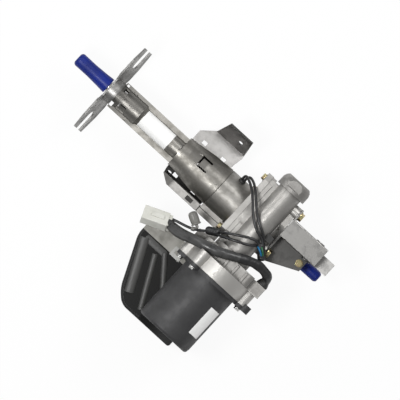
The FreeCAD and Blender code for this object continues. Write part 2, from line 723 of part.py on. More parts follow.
def make_stator():
    """Laminated ring with twelve teeth facing the rotor."""
    y = stator_start
    ring = tube(motor_r - motor_wall, motor_r - motor_wall - 6, worm_point(y), ACROSS, stator_length)
    teeth = []
    for tooth in range(12):
        arm = block(worm_x + rotor_r + air_gap + 0.4, worm_x + motor_r - motor_wall - 4, y, y + stator_length,
                    centre_distance - 3, centre_distance + 3)
        arm.rotate(worm_point(0), ACROSS, 30 * tooth)
        teeth.append(arm)
    bore = rod(rotor_r + air_gap, worm_point(y - 1), ACROSS, stator_length + 2)
    return joined([ring] + teeth).cut(bore)


def make_windings():
    """End turns of the coils, in front of and behind the stator."""
    coils = []
    for y in (stator_start - 9, stator_start + stator_length):
        coils.append(tube(motor_r - motor_wall - 3, rotor_r + 4, worm_point(y), ACROSS, 9))
    return coils


def make_rotor():
    core = tube(rotor_r, motor_shaft_r, worm_point(rotor_start), ACROSS, rotor_length)
    grooves = []
    for pole in range(8):
        groove = rod(1.6, V(worm_x + rotor_r, rotor_start - 1, centre_distance), ACROSS, rotor_length + 2)
        groove.rotate(worm_point(0), ACROSS, 45 * pole + 22.5)
        grooves.append(groove)
    return core.cut(joined_cut(grooves))


def make_motor_shaft():
    seat = worm_bearing_bore_r
    front = motor_front_bearing_y + worm_bearing_width / 2
    rear = motor_rear_bearing_y - worm_bearing_width / 2
    return turned([(rear + 1, 0), (rear + 1, seat), (rear + worm_bearing_width, seat),
                   (rear + worm_bearing_width, motor_shaft_r), (front - worm_bearing_width, motor_shaft_r),
                   (front - worm_bearing_width, seat), (front, seat), (front, seat - 0.6),
                   (coupling_gap_y - 1, seat - 0.6), (coupling_gap_y - 1, 0)], worm_point(0), ACROSS)


def unit_outline(inset):
    """Outline of the control unit from the front: a slanted side, a round corner, a step by the motor."""
    left = unit_left + inset
    right = unit_right - inset
    end = unit_end + inset
    front = adaptor_back - unit_base_thickness + inset * 2
    lean = math.radians(unit_slant)
    slant = V(math.sin(lean), -math.cos(lean), 0)
    upper_left = V(left, unit_slant_start, 0)
    lower_left = upper_left + slant * unit_slant_length
    bottom_left = V(lower_left.x + unit_corner + 4, end, 0)
    corner = V(lower_left.x + 4.5, end + 4.5, 0)
    bottom_right = V(unit_step_x - unit_step - inset, end, 0)
    step = V(unit_step_x - inset, end + unit_step, 0)
    bend = V(unit_step_x - unit_step * 0.293 - inset, end + unit_step * 0.293, 0)
    low_right = V(right, end + unit_step, 0)
    top_right = V(right, front, 0)
    top_left = V(left, front, 0)
    edges = [Part.LineSegment(top_left, upper_left), Part.LineSegment(upper_left, lower_left),
             Part.Arc(lower_left, corner, bottom_left), Part.LineSegment(bottom_left, bottom_right),
             Part.Arc(bottom_right, bend, step), Part.LineSegment(step, low_right),
             Part.LineSegment(low_right, top_right), Part.LineSegment(top_right, top_left)]
    return Part.Wire([edge.toShape() for edge in edges])


def unit_block(inset, low, high):
    face = Part.Face(unit_outline(inset))
    face.translate(V(0, 0, low))
    return face.extrude(V(0, 0, high - low))


def make_unit_cover():
    """Moulded cover, hollow, dished along the motor, with three raised ridges on its face."""
    outer = unit_block(0, unit_bottom, unit_top)
    ridges = []
    for along, rise, length, lean in ((39, 22, 68, 21), (53, 15, 72, 12), (75, 16, 62, 4)):
        ridge = block(0, 7, 0, length, 0, 4.5)
        ridge = ridge.makeFillet(2.4, [e for e in ridge.Edges if e.CenterOfMass.z > 4.4])
        ridge.rotate(ORIGIN, UP, lean)
        ridge.translate(V(unit_left + along, unit_end + rise, unit_top - 1))
        ridges.append(ridge)
    body = joined([outer] + ridges)
    motor_room = rod(motor_r + unit_gap, worm_point(unit_end - 10), ACROSS, 140)
    body = body.cut(motor_room)
    inner = unit_block(unit_wall, unit_bottom + unit_wall, unit_top - unit_wall)
    inner = inner.cut(rod(motor_r + unit_gap + unit_wall, worm_point(unit_end - 10), ACROSS, 140))
    front = adaptor_back - unit_base_thickness
    mouth = block(unit_left + unit_wall, unit_right - unit_wall, front - 6, front + 1, unit_bottom + unit_wall,
                  unit_top - unit_wall)
    mouth = mouth.cut(rod(motor_r + unit_gap + unit_wall, worm_point(unit_end - 10), ACROSS, 140))
    return body.cut(inner).cut(mouth)


def make_unit_base():
    """Aluminium heat sink that closes the cover and hangs on the adaptor's foot."""
    front = adaptor_back - unit_base_thickness
    plate = block(unit_left, unit_right, front, adaptor_back, unit_bottom, unit_top)
    plate = plate.cut(rod(motor_r + unit_gap, worm_point(front - 1), ACROSS, unit_base_thickness + 2))
    plate = plate.cut(rod(adaptor_r + 1, worm_point(adaptor_back - motor_flange_thickness - 1), ACROSS, 20))
    for point in motor_bolt_points(front - 1):
        plate = plate.cut(rod(motor_ear_r + 1.5, point, ACROSS, 40))
    root = adaptor_back + heat_sink_depth
    lip = block(unit_left + 4, worm_x - 64, adaptor_back, root, unit_bottom + 6, unit_top)
    fins = [block(unit_left + 12 + 7 * n, unit_left + 14.5 + 7 * n, root, root + 4,
                  unit_bottom + 6, unit_top - 4) for n in range(6)]
    return joined([plate, lip] + fins)


def make_unit_board():
    front = adaptor_back - unit_base_thickness
    return block(unit_left + 46, unit_right - 12, unit_end + 24, front, board_z - 1.6, board_z)


def make_board_parts():
    """Capacitors and the heat-spread power devices on the control board."""
    parts = [rod(7, V(unit_left + x, unit_end + 47, board_z), UP, 22) for x in (58, 76)]
    for x in (90, 110, 130):
        parts.append(block(unit_left + x, unit_left + x + 14, unit_end + 67, unit_end + 83, board_z, board_z + 4.4))
    parts.append(block(unit_left + 48, unit_left + 70, unit_end + 77, unit_end + 97, board_z, board_z + 3))
    return parts


def make_unit_clamp():
    """Bright clip with a slot that holds the cover's edge to the adaptor."""
    strip = block(worm_x - 68, worm_x - 50, adaptor_back - 16, adaptor_back, 0, 1.5)
    slot = block(worm_x - 64, worm_x - 56, adaptor_back - 10, adaptor_back - 5, -1, 3)
    strip = strip.cut(slot)
    strip.translate(V(-4, 0, unit_top))
    return strip


def sector_sheet(centre, direction, radius, thickness, first, last, start, length):
    """A thin sheet wrapped round a cylinder, between two angles measured from the top."""
    corners = [centre + direction * s + UP * r for s, r in
               ((start, radius), (start + length, radius), (start + length, radius + thickness),
                (start, radius + thickness))]
    face = Part.Face(Part.makePolygon(corners + corners[:1]))
    face.rotate(centre, direction, first)
    return face.revolve(centre, direction, last - first)


def bent_sheet(points, thickness, start, length):
    """Sheet folded along X: one slab for each leg in Y and Z, and a round bend between legs."""
    pieces = []
    half = thickness / 2
    for (y0, z0), (y1, z1) in zip(points, points[1:]):
        run = math.hypot(y1 - y0, z1 - z0)
        slab = Part.makeBox(length, run, thickness, V(start, 0, -half))
        slab.rotate(ORIGIN, ALONG, math.degrees(math.atan2(z1 - z0, y1 - y0)))
        slab.translate(V(0, y0, z0))
        pieces.append(slab)
    for y, z in points[1:-1]:
        pieces.append(rod(half, V(start, y, z), ALONG, length))
    return joined(pieces)


def make_upper_jacket_half(side):
    """One pressed half: a head for the bearing, a half-round back and two flat fins."""
    outer = turned([(head_start, 0), (head_start, head_r), (head_end, head_r), (head_end + 5, hump_r),
                    (upper_jacket_end, hump_r), (upper_jacket_end, 0)])
    inner = turned([(head_start - 1, 0), (head_start - 1, head_r - thick_sheet),
                    (head_end - 3, head_r - thick_sheet), (head_end + 2, hump_r - sheet),
                    (upper_jacket_end + 1, hump_r - sheet), (upper_jacket_end + 1, 0)])
    fin = block(fin_start, upper_jacket_end, -fin_half, fin_half, -sheet, sheet)
    shell = joined([outer, fin]).cut(inner)
    half = block(head_start - 2, upper_jacket_end + 2, -40, 40, 0, 60)
    if side < 0:
        half = block(head_start - 2, upper_jacket_end + 2, -40, 40, -60, 0)
        openings = [block(head_start - 1, head_start + 5, -20, -13, -30, 1),
                    block(head_start + 2, head_start + 6, 18.6, 22, -30, 1)]
        return shell.common(half).cut(joined_cut(openings))
    windows = [block(head_start + x0, head_start + x1, y0, y1, z0, 30)
               for x0, x1, y0, y1, z0 in ((-1, 5, -20, -13, -1), (4, 11, 9, 16, 4), (11, 25, -17, -7, 6),
                                          (2, 6, 18.6, 22, -1), (-1, 3, -24, -21, -1), (30, 35, -22.4, -19.4, -1),
                                          (16, 25, 19, 22, -1))]
    tongue = block(head_start + 13.5, head_start + 26, -15, -8.6, 6, head_r - 2.2)
    tongue = tongue.cut(inner).common(rod(head_r - 0.6, V(head_start, 0, 0), ALONG, 40))
    return joined([shell.common(half).cut(joined_cut(windows)), tongue])


def make_upper_plate():
    """Mounting plate with an open slot at each end, pressed ribs and a hole for the shaft."""
    half = plate_half_width
    deep = plate_half_depth
    corners = [(-half, -deep + 5), (-half + 30, -deep), (-28, -deep), (-16, -deep + 4), (16, -deep + 4),
               (28, -deep), (half - 30, -deep), (half, -deep + 5), (half, deep - 5), (half - 24, deep),
               (28, deep), (16, deep - 4), (-16, deep - 4), (-28, deep), (-half + 24, deep), (-half, deep - 5)]
    plate = plate_yz(corners, -thick_sheet, thick_sheet)
    slots = []
    for side in (-1, 1):
        inner = side * (half - slot_depth)
        outer = side * (half + 1)
        slots.append(block(-9, 9, min(inner, outer), max(inner, outer), -slot_width / 2, slot_width / 2))
        slots.append(rod(slot_width / 2, V(-9, inner, 0), ALONG, 18))
        slots.append(block(-9, 9, min(side * 34, side * 40), max(side * 34, side * 40), 14, 18))
    ribs = [block(-thick_sheet - 2.5, -thick_sheet, min(side * 24, side * 46), max(side * 24, side * 46), z - 2, z + 2)
            for side in (-1, 1) for z in (-15, 15)]
    plate = joined([plate] + ribs).cut(joined_cut(slots))
    plate = plate.cut(rod(shaft_r + 4, V(-12, 0, 0), ALONG, 24))
    plate.rotate(ORIGIN, ACROSS, -plate_tilt)
    return plate


def make_plate_collar():
    """Pressed collar that joins the tilted plate to the head of the upper jacket."""
    collar = tube(head_r + 2, shaft_r + 4, V(-14, 0, 0), ALONG, head_start + 14)
    keep = Part.makeBox(60, 120, 120, V(0, -60, -60))
    keep.rotate(ORIGIN, ACROSS, -plate_tilt)
    return collar.common(keep)


def make_upper_bearing():
    return ball_bearing(V(upper_bearing_station, 0, 0), ALONG, shaft_r, column_bearing_outer_r,
                        column_bearing_width, 10)


def make_bearing_rings():
    """Retaining rings: one on the shaft, one in the head behind the bearing."""
    start = upper_bearing_station + column_bearing_width / 2
    on_shaft = tube(shaft_r + 1.6, shaft_r, V(start, 0, 0), ALONG, 1.2)
    in_head = tube(column_bearing_outer_r, column_bearing_outer_r - 1.4, V(start, 0, 0), ALONG, 1.2)
    return on_shaft, in_head


def jacket_solid(inset, extra):
    """The lower jacket's tapered outline, solid, made smaller all round by inset."""
    start = lower_jacket_start - extra
    end = sensor_start + extra
    return turned([(start, 0), (start, lower_mouth_r - inset), (lower_jacket_start + 14, lower_mouth_r + 1 - inset),
                   (lower_jacket_start + 46, lower_end_r - 1 - inset), (sensor_start - 10, lower_end_r - inset),
                   (end, lower_end_r - inset), (end, 0)])


def make_lower_jacket():
    """Tapered steel jacket with a lanced window on its face."""
    shell = jacket_solid(0, 0).cut(jacket_solid(sheet, 1))
    first = lower_jacket_start + 32
    last = sensor_start - 29
    window = block(first, last, 1, 20, 12, 50)
    tongue = block(first + 3, last, 4, 17, 12, 50)
    collar = tube(lower_end_r + jacket_collar, lower_end_r - 0.5, V(sensor_start - 5, 0, 0), ALONG, 4)
    sunk = jacket_solid(1.2, 0).cut(jacket_solid(3.0, 1)).common(tongue)
    arc = Part.makeTorus(9, 1.6, V(first - 1, 10.5, 25.4), V(-0.14, 0.36, 0.92))
    arc = arc.common(block(first - 16, first - 1.5, -4, 25, 10, 50))
    return joined([shell.cut(window), sunk, collar, arc.cut(jacket_solid(1.0, 0))])


def make_slide_guides():
    """Plastic guides pressed in the jacket's mouth, hugging the fins of the upper jacket."""
    guides = []
    for side in (-1, 1):
        low = min(side * 18, side * 30)
        rail = block(lower_jacket_start + 4, lower_jacket_start + 20, low, low + 12, -5, 5)
        rail = rail.common(jacket_solid(sheet, 0))
        reach = fin_half + running_gap
        slot = block(lower_jacket_start, lower_jacket_start + 30, -reach, reach, -sheet - running_gap,
                     sheet + running_gap)
        guides.append(rail.cut(slot))
    return guides


def jacket_room():
    """The space that the lower jacket and its end collar fill."""
    collar = rod(lower_end_r + jacket_collar, V(sensor_start - 5, 0, 0), ALONG, 6)
    return jacket_solid(0, 1).fuse(collar)


def ear_window(corners):
    return plate_xy(corners, -60, 60)


def notch_cuts(y):
    """Two square notches beside the jacket."""
    cuts = []
    for x in (notch_first, notch_last):
        cuts.append(block(x - 4, x + 4, y - 3, y + 3, -40, 40))
    return cuts


def make_right_ear():
    sheet_body = bent_sheet(right_ear_fold, thick_sheet, ear_start - 2, lower_jacket_length)
    outline = [(ear_start, 18), (ear_start, 44), (ear_start + 20, 61), (ear_start + 28, 84), (ear_end - 4, 84),
               (ear_end, 54), (ear_end - 3, 40), (ear_end - 3, 18)]
    ear = sheet_body.common(ear_window(outline)).cut(jacket_room())
    hole = rod(ear_hole_r, right_ear_hole - right_ear_normal * 10, right_ear_normal, 20)
    return ear.cut(joined_cut([hole] + notch_cuts(right_notch_y)))


def make_left_ear():
    sheet_body = bent_sheet(left_ear_fold, thick_sheet, ear_start - 2, lower_jacket_length)
    outline = [(ear_start, -18), (ear_start, -30), (ear_start + 2, -40), (ear_start + 20, -52), (ear_end, -52),
               (ear_end, -18)]
    ear = sheet_body.common(ear_window(outline)).cut(jacket_room())
    hole = rod(ear_hole_r, left_ear_hole - left_ear_normal * 8, left_ear_normal, 16)
    window = block(ear_end - 24, ear_end - 12, -47, -40.5, -20, 0)
    return ear.cut(joined_cut([hole, window] + notch_cuts(left_notch_y)))


def make_side_rail():
    """Folded rail that carries on from the left ear along the sensor housing to the flange."""
    fold = [(-30, -6), (-40, -6), (-40, -12), (-50, -12)]
    rail = bent_sheet(fold, thick_sheet, sensor_start - 1, sensor_length + 1)
    rim = rod(sensor_r + 1.5, V(flange_start - 4, 0, 0), ALONG, 4)
    cut = joined_cut([rim, rod(sensor_r, V(sensor_start, 0, 0), ALONG, sensor_length), jacket_solid(0, 1)])
    return rail.cut(cut)


def make_sensor_housing():
    """Drawn steel cup round the torque sensor, with a shallow groove near each end."""
    end = flange_start
    cup = turned([(sensor_start, 0), (sensor_start, sensor_r - 1), (sensor_start + 1, sensor_r), (end - 4, sensor_r),
                  (end - 4, sensor_r + 1.5), (end, sensor_r + 1.5), (end, 0)])
    room = rod(sensor_r - 2.5, V(sensor_start + 2.5, 0, 0), ALONG, sensor_length)
    bore = rod(input_neck_r + 3.5, V(sensor_start - 1, 0, 0), ALONG, 10)
    exit_hole = rod(4.0, V(lead_exit_x, 20, 0), ACROSS, 20)
    exit_hole.rotate(ORIGIN, ALONG, lead_exit_angle)
    return cup.cut(joined_cut([room, bore, exit_hole]))


def make_sensor_coil():
    coil = tube(sensor_r - 2.5, 20.5, V(sensor_start + 8, 0, 0), ALONG, 26)
    grooves = [tube(sensor_r, 26, V(sensor_start + x, 0, 0), ALONG, 8) for x in (11, 23)]
    return coil.cut(joined_cut(grooves))


def make_sensor_input_ring():
    """Toothed ring on the input shaft."""
    ring = tube(18.5, input_neck_r, V(sensor_start + 10, 0, 0), ALONG, 10)
    return notched(ring, 18.5, sensor_start + 16, 5)


def make_sensor_output_ring():
    """Toothed sleeve on the output shaft's cup, reaching back under the coil."""
    start = sensor_start + 22
    sleeve = tube(14, output_cup_r, V(start, 0, 0), ALONG, flange_start - start - 0.5)
    ring = tube(18.5, output_cup_r, V(start, 0, 0), ALONG, 9)
    return notched(joined([sleeve, ring]), 18.5, start - 1, 5)


def notched(ring, radius, start, length):
    cuts = []
    for tooth in range(8):
        gap = block(start, start + length, radius - 3, radius + 2, -2.5, 2.5)
        gap.rotate(ORIGIN, ALONG, 45 * tooth)
        cuts.append(gap)
    return ring.cut(joined_cut(cuts))


def make_sensor_board():
    return block(sensor_start + 34, sensor_start + 35.6, -18, 18, 20, 25)


def make_lead_grommet():
    """Rubber grommet where the leads leave the sensor housing."""
    place = V(lead_exit_x, 0, 0)
    shank = turned([(sensor_r - 1.9, 0), (sensor_r - 1.9, 4.0), (sensor_r + 1, 4.0), (sensor_r + 1, 0)], place, ACROSS)
    collar = turned([(sensor_r - 2.5, 0), (sensor_r - 2.5, 5.8), (sensor_r + 2, 5.6), (sensor_r + 3.5, 4.9),
                     (sensor_r + 3.5, 0)], place, ACROSS)
    collar = collar.cut(rod(sensor_r, V(sensor_start, 0, 0), ALONG, sensor_length))
    grommet = joined([shank, collar])
    grommet.rotate(ORIGIN, ALONG, lead_exit_angle)
    return grommet


def make_upper_cap():
    """Soft transport cap, slightly waisted, closed and rounded at its tip."""
    tip = upper_shaft_tip - 12.5
    base = -10.0
    outer = turned([(tip, 0), (tip, 7), (tip + 1.5, 9.6), (tip + 4, 11), (tip + 28, 10.8), (tip + 50, 11.8),
                    (base - 3, 12.6), (base, 12.6), (base, 0)])
    bore = rod(shaft_r + cap_gap, V(upper_shaft_tip - 3, 0, 0), ALONG, 100)
    return outer.cut(bore)


def make_lower_cap():
    tip = output_end + 7
    outer = turned([(tip - 40, 0), (tip - 40, output_tail_r + 2.2), (tip - 4, output_tail_r + 1.8),
                    (tip - 1, output_tail_r), (tip, output_tail_r - 2), (tip, 0)])
    bore = rod(output_tail_r + cap_gap, V(tip - 50, 0, 0), ALONG, output_end + 1 - tip + 50)
    return outer.cut(bore)


def make_lower_bracket():
    """Folded bracket on the output neck: foot plate, channel, end tab, gusset and pivot bush."""
    foot = plate_yz([(-34, 27), (-34, 45), (-14, 50), (60, 50), (60, 27), (38, 27), (30, 31), (-12, 31), (-16, 27)],
                    bracket_seat_x, bracket_sheet)
    end = channel_end
    top = channel_top
    face = block(bracket_seat_x, end, channel_low, channel_high, top - bracket_sheet, top)
    face = face.makeFillet(2, [e for e in face.Edges if abs(e.CenterOfMass.z - top) < 0.01
                               and abs(e.tangentAt(e.FirstParameter).x) > 0.99])
    walls = [block(bracket_seat_x, end, channel_low, channel_low + bracket_sheet, 28, top - 2),
             block(bracket_seat_x, end, channel_high - bracket_sheet, channel_high, 30, top - 2)]
    closing = block(end - bracket_sheet, end, channel_low, channel_high - 8, 26, top - 2)
    tab = block(end - bracket_sheet, end + 22, channel_low + 1, channel_high - 10, 26, 26 + bracket_sheet)
    gusset = plate_xy([(bracket_seat_x, -34.5), (bracket_seat_x + 10, -34.5), (gusset_bolt_x + 8, -12),
                       (gusset_bolt_x + 8, channel_low + 3), (bracket_seat_x, channel_low + 3)],
                      gusset_low, gusset_low + bracket_sheet)
    body = joined([foot, face, closing, tab, gusset] + walls)
    room = rod(bush_r, V(pivot_x, channel_low - 10, pivot_z), ACROSS, channel_high + 20)
    holes = [rod(bracket_bolt_r + 0.3, V(bracket_seat_x - 1, y, z), ALONG, 10) for y, z in bracket_bolt_places]
    holes.append(rod(flange_bolt_r, V(gusset_bolt_x, -3, 20), UP, 20))
    return body.cut(joined_cut([room] + holes))


def make_pivot_bush():
    return tube(bush_r, pivot_bore_r, V(pivot_x, channel_low - 2, pivot_z), ACROSS, channel_high - channel_low + 3.5)


def make_bracket_bolts():
    """Two bolts into the gear housing and one through the gusset."""
    seat = bracket_seat_x + bracket_sheet
    bolts = [hex_bolt(V(seat, y, z), ALONG * -1, bracket_bolt_r, 14, 6.5, 6) for y, z in bracket_bolt_places]
    bolts.append(hex_bolt(V(gusset_bolt_x, -3, gusset_low + bracket_sheet), UP * -1, flange_bolt_r, 7, 5, 4.5))
    return bolts


def make_breather_plug():
    """Black plug on the flank of the worm tube."""
    plug = block(worm_x + 12, worm_x + 29, -11.5, -1, centre_distance + 5, centre_distance + 12)
    return plug.cut(rod(worm_tube_r, worm_point(-40), ACROSS, 60))


def make_power_gland():
    """Rubber gland on the adaptor's boss, where the sleeved cable leaves the motor."""
    return turned([(gland_y - 11, 0), (gland_y - 11, gland_r), (gland_y, gland_r), (gland_y, gland_r + 1.5),
                   (gland_y + 2.5, gland_r + 1.5), (gland_y + 8, sleeve_diameter / 2 + 1), (gland_y + 8, 0)],
                  V(gland_x, 0, centre_distance), ACROSS)


def make_taped_joint(start, finish, radius):
    """A bundle of leads wrapped in tape, swollen in the middle."""
    start = start + WORM_FOOT
    finish = finish + WORM_FOOT
    axis = finish - start
    length = axis.Length
    axis.normalize()
    side = axis.cross(UP).normalize()
    profile = ((0, 0), (0, radius * 0.75), (length * 0.15, radius * 0.92), (length * 0.5, radius),
               (length * 0.85, radius * 0.9), (length, radius * 0.7), (length, 0))
    corners = [start + axis * station + side * reach for station, reach in profile]
    return Part.Face(Part.makePolygon(corners + corners[:1])).revolve(start, axis, 360)


def make_power_connector():
    """Two-way plug housing with a latch, a stepped mouth and a collar for the cable."""
    width = connector_half_width
    height = connector_half_height
    start = -connector_length
    shell = block(start, 0, -width, width, -height, height)
    shell = shell.makeFillet(1.2, [e for e in shell.Edges if abs(e.tangentAt(e.FirstParameter).x) > 0.99])
    collar = block(-1, 5, -width + 2, width - 2, -height + 1.5, height - 1.5)
    socket = block(start - 2, start + 15, -width + 2.5, width - 2.5, -height + 2.5, height - 2.5)
    latch = block(start + 13, start + 33, -3.5, 3.5, height - 0.5, height + 2)
    body = joined([shell.cut(socket), collar, latch])
    body.rotate(ORIGIN, ALONG, connector_roll)
    body.rotate(ORIGIN, UP, connector_turn)
    body.translate(connector_place + WORM_FOOT)
    return body


def make_harness_clip():
    """Ribbed fir-tree plug with a band round the branch lead."""
    start = clip_start + WORM_FOOT
    finish = clip_finish + WORM_FOOT
    axis = finish - start
    length = axis.Length
    axis.normalize()
    side = axis.cross(UP).normalize()
    profile = [(0, 0), (0, 5.5), (2, 7)]
    for rib in range(4):
        station = 5 + 4 * rib
        profile += [(station, 7), (station + 0.6, 5.6), (station + 3, 5.6), (station + 3.4, 7)]
    profile += [(length - 2, 6), (length, 4), (length, 0)]
    corners = [start + axis * station + side * reach for station, reach in profile]
    body = Part.Face(Part.makePolygon(corners + corners[:1])).revolve(start, axis, 360)
    lead = V(*branch_route[3]) + WORM_FOOT
    after = V(*branch_route[4]) + WORM_FOOT
    along = (after - lead).normalize()
    band_place = (lead + after) * 0.5
    band = rod(lead_diameter / 2 + 1.4, band_place - along * 2.5, along, 5)
    stem = rod(2.2, finish - axis * 5, band_place - (finish - axis * 5), (band_place - finish + axis * 5).Length)
    return joined([body, stem, band])


def save(name, pieces):
    """Write one node: a single solid or a group of separate solids."""
    group = pieces if isinstance(pieces, (list, tuple)) else [pieces]
    solids = []
    for piece in group:
        solids += piece.Solids
    print(name, "solids", len(solids), "volume", round(sum(solid.Volume for solid in solids)),
          "valid", all(solid.isValid() for solid in solids))
    shape = solids[0] if len(solids) == 1 else Part.makeCompound(solids)
    shape.exportStep("parts/" + name + ".step")


def main():
    os.makedirs("parts", exist_ok=True)
    save("upper_shaft", make_upper_shaft())
    save("input_shaft", make_input_shaft())
    save("torsion_bar", [make_torsion_bar(), make_pin(bar_start + bar_length - 6, lower_pin_reach)])
    save("input_pin", make_pin(bar_start + 6, upper_pin_reach))
    save("output_shaft", make_output_shaft())
    save("worm_wheel_hub", make_wheel_hub())
    save("worm_wheel_rim", make_wheel_rim())
    save("worm_shaft", make_worm_shaft())
    save("gear_cover", make_gear_cover())
    save("housing_bolts", make_flange_bolts() + make_bracket_bolts())
    save("gear_housing", make_gear_housing())
    save("worm_end_cap", make_worm_end_cap())
    save("preload_spring", make_preload_spring())
    output_outers, output_inners, output_balls = make_output_bearings()
    drive_outers, drive_inners, drive_balls = make_drive_bearings()
    save("bearing_outers", output_outers + drive_outers)
    save("output_bearing_inners", output_inners + output_balls)
    save("drive_bearing_inners", drive_inners + drive_balls)
    save("shaft_seal", make_shaft_seal())
    save("coupling_hubs", make_coupling_hubs())
    save("coupling_spider", make_coupling_spider())
    save("adaptor", make_adaptor())
    save("motor_flange", make_motor_flange())
    save("motor_can", make_motor_can())
    save("motor_bolts", make_motor_bolts())
    save("motor_stator", make_stator())
    save("motor_windings", make_windings())
    save("motor_rotor", make_rotor())
    save("motor_shaft", make_motor_shaft())
    save("unit_cover", make_unit_cover())
    save("unit_base", make_unit_base())
    save("unit_board", [make_unit_board()] + make_board_parts())
    save("unit_clamp", make_unit_clamp())
    save("upper_jacket_front", make_upper_jacket_half(1))
    save("upper_jacket_rear", make_upper_jacket_half(-1))
    save("upper_plate", [make_upper_plate(), make_plate_collar()])
    outer, inner, balls = make_upper_bearing()
    on_shaft, in_head = make_bearing_rings()
    save("upper_bearing_outer", [outer, in_head])
    save("upper_bearing_inner", [inner, on_shaft] + balls)
    save("lower_jacket", make_lower_jacket())
    save("slide_guides", make_slide_guides())
    save("right_ear", make_right_ear())
    save("left_ear", make_left_ear())
    save("side_rail", make_side_rail())
    save("sensor_housing", make_sensor_housing())
    save("sensor_coil", make_sensor_coil())
    save("sensor_input_ring", make_sensor_input_ring())
    save("sensor_output_ring", make_sensor_output_ring())
    save("sensor_board", make_sensor_board())
    save("upper_cap", make_upper_cap())
    save("lower_cap", make_lower_cap())
    save("lower_bracket", [make_lower_bracket(), make_pivot_bush()])
    save_harness()


def save_harness():
    """Cords as plain tubes, and the pieces they run into, cut to fit round them."""
    tubes = {}
    for name, points, diameter in (("power_cable", power_route, sleeve_diameter),
                                   ("sensor_lead", sensor_route, lead_diameter),
                                   ("second_sensor_lead", second_sensor_route, lead_diameter),
                                   ("control_lead", control_route, lead_diameter),
                                   ("second_control_lead", second_control_route, lead_diameter),
                                   ("branch_lead", branch_route, lead_diameter)):
        tubes[name] = cord(name, points, diameter)
        save(name, tubes[name])
    bundle = joined_cut(list(tubes.values()))
    save("power_gland", make_power_gland().cut(tubes["power_cable"]))
    save("rubber_plugs", [make_breather_plug(), make_lead_grommet().cut(bundle)])
    save("power_connector", make_power_connector().cut(bundle))
    save("harness_clip", make_harness_clip().cut(tubes["branch_lead"]))
    save("taped_joints", [make_taped_joint(joint_start, joint_finish, joint_r).cut(bundle),
                          make_taped_joint(clump_start, clump_finish, clump_r).cut(bundle)])


main()
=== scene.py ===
# %% [markdown]
# # A steering column with electric assistance
# The column lies on its back on a pale floor, and the camera looks straight down at it. Its long axis is X:
# the blue cap of the steering wheel end is at the left, and the gearbox with its motor is at the right.
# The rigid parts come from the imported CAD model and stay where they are. This lesson gives each of them a
# finish, and models what a CAD tool does badly: the cables, the tape, the moulded cover and the labels.

# %% Load the fixed frame
import json
import math

import bpy
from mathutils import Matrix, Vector


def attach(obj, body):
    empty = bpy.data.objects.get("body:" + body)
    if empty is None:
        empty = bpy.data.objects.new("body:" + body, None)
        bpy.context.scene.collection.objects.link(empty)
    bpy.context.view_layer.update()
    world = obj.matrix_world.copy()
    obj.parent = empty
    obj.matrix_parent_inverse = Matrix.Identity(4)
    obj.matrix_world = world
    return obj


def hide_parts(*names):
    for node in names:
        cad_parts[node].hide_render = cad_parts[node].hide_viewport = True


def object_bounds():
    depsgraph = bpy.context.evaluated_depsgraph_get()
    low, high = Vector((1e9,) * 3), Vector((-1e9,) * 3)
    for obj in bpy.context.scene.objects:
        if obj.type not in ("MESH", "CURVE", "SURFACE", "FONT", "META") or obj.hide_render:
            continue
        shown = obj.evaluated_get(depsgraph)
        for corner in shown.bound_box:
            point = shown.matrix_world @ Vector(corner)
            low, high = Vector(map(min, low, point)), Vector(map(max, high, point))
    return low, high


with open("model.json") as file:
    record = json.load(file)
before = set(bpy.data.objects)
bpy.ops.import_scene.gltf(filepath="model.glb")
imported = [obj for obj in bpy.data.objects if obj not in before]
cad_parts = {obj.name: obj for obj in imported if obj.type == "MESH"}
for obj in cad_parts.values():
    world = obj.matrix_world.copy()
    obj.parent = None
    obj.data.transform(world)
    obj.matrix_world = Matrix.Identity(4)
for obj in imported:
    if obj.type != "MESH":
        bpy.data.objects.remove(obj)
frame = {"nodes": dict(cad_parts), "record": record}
nodes = frame["nodes"]
cad_low, cad_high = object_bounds()
print("CAD nodes:", len(nodes), "box in mm:", [round(1000 * v) for v in (*cad_low, *cad_high)])

# %% [markdown]
# ## Camera
# The photograph was taken from far above, with hardly any perspective, so an orthographic camera suits it.
# It looks along -Z, and is turned so that the column runs from the upper left to the lower right.

# %% Place the camera
view_width = 0.6
view_centre = (0.2064, -0.0333)
camera_height = 1.5
column_slant = 42.53
picture_width = 400

camera_data = bpy.data.cameras.new("camera")
camera_data.type = "ORTHO"
camera_data.ortho_scale = view_width
camera = bpy.data.objects.new("camera", camera_data)
camera.location = (*view_centre, camera_height)
camera.rotation_euler = (0, 0, math.radians(column_slant))
bpy.context.scene.collection.objects.link(camera)
bpy.context.scene.camera = camera
bpy.context.scene.view_settings.view_transform = "Standard"
print("one pixel of the picture is", 1000 * view_width / picture_width, "mm")

# %% [markdown]
# ## Cords
# A cable is a fixed length of something soft, so it is a smooth curve and never straight runs with corners.
# A NURBS spline of order 3 passes close to its control points without kinks. Its order has to be set after
# the points are there. The points are those of the CAD model's routes, in millimetres.

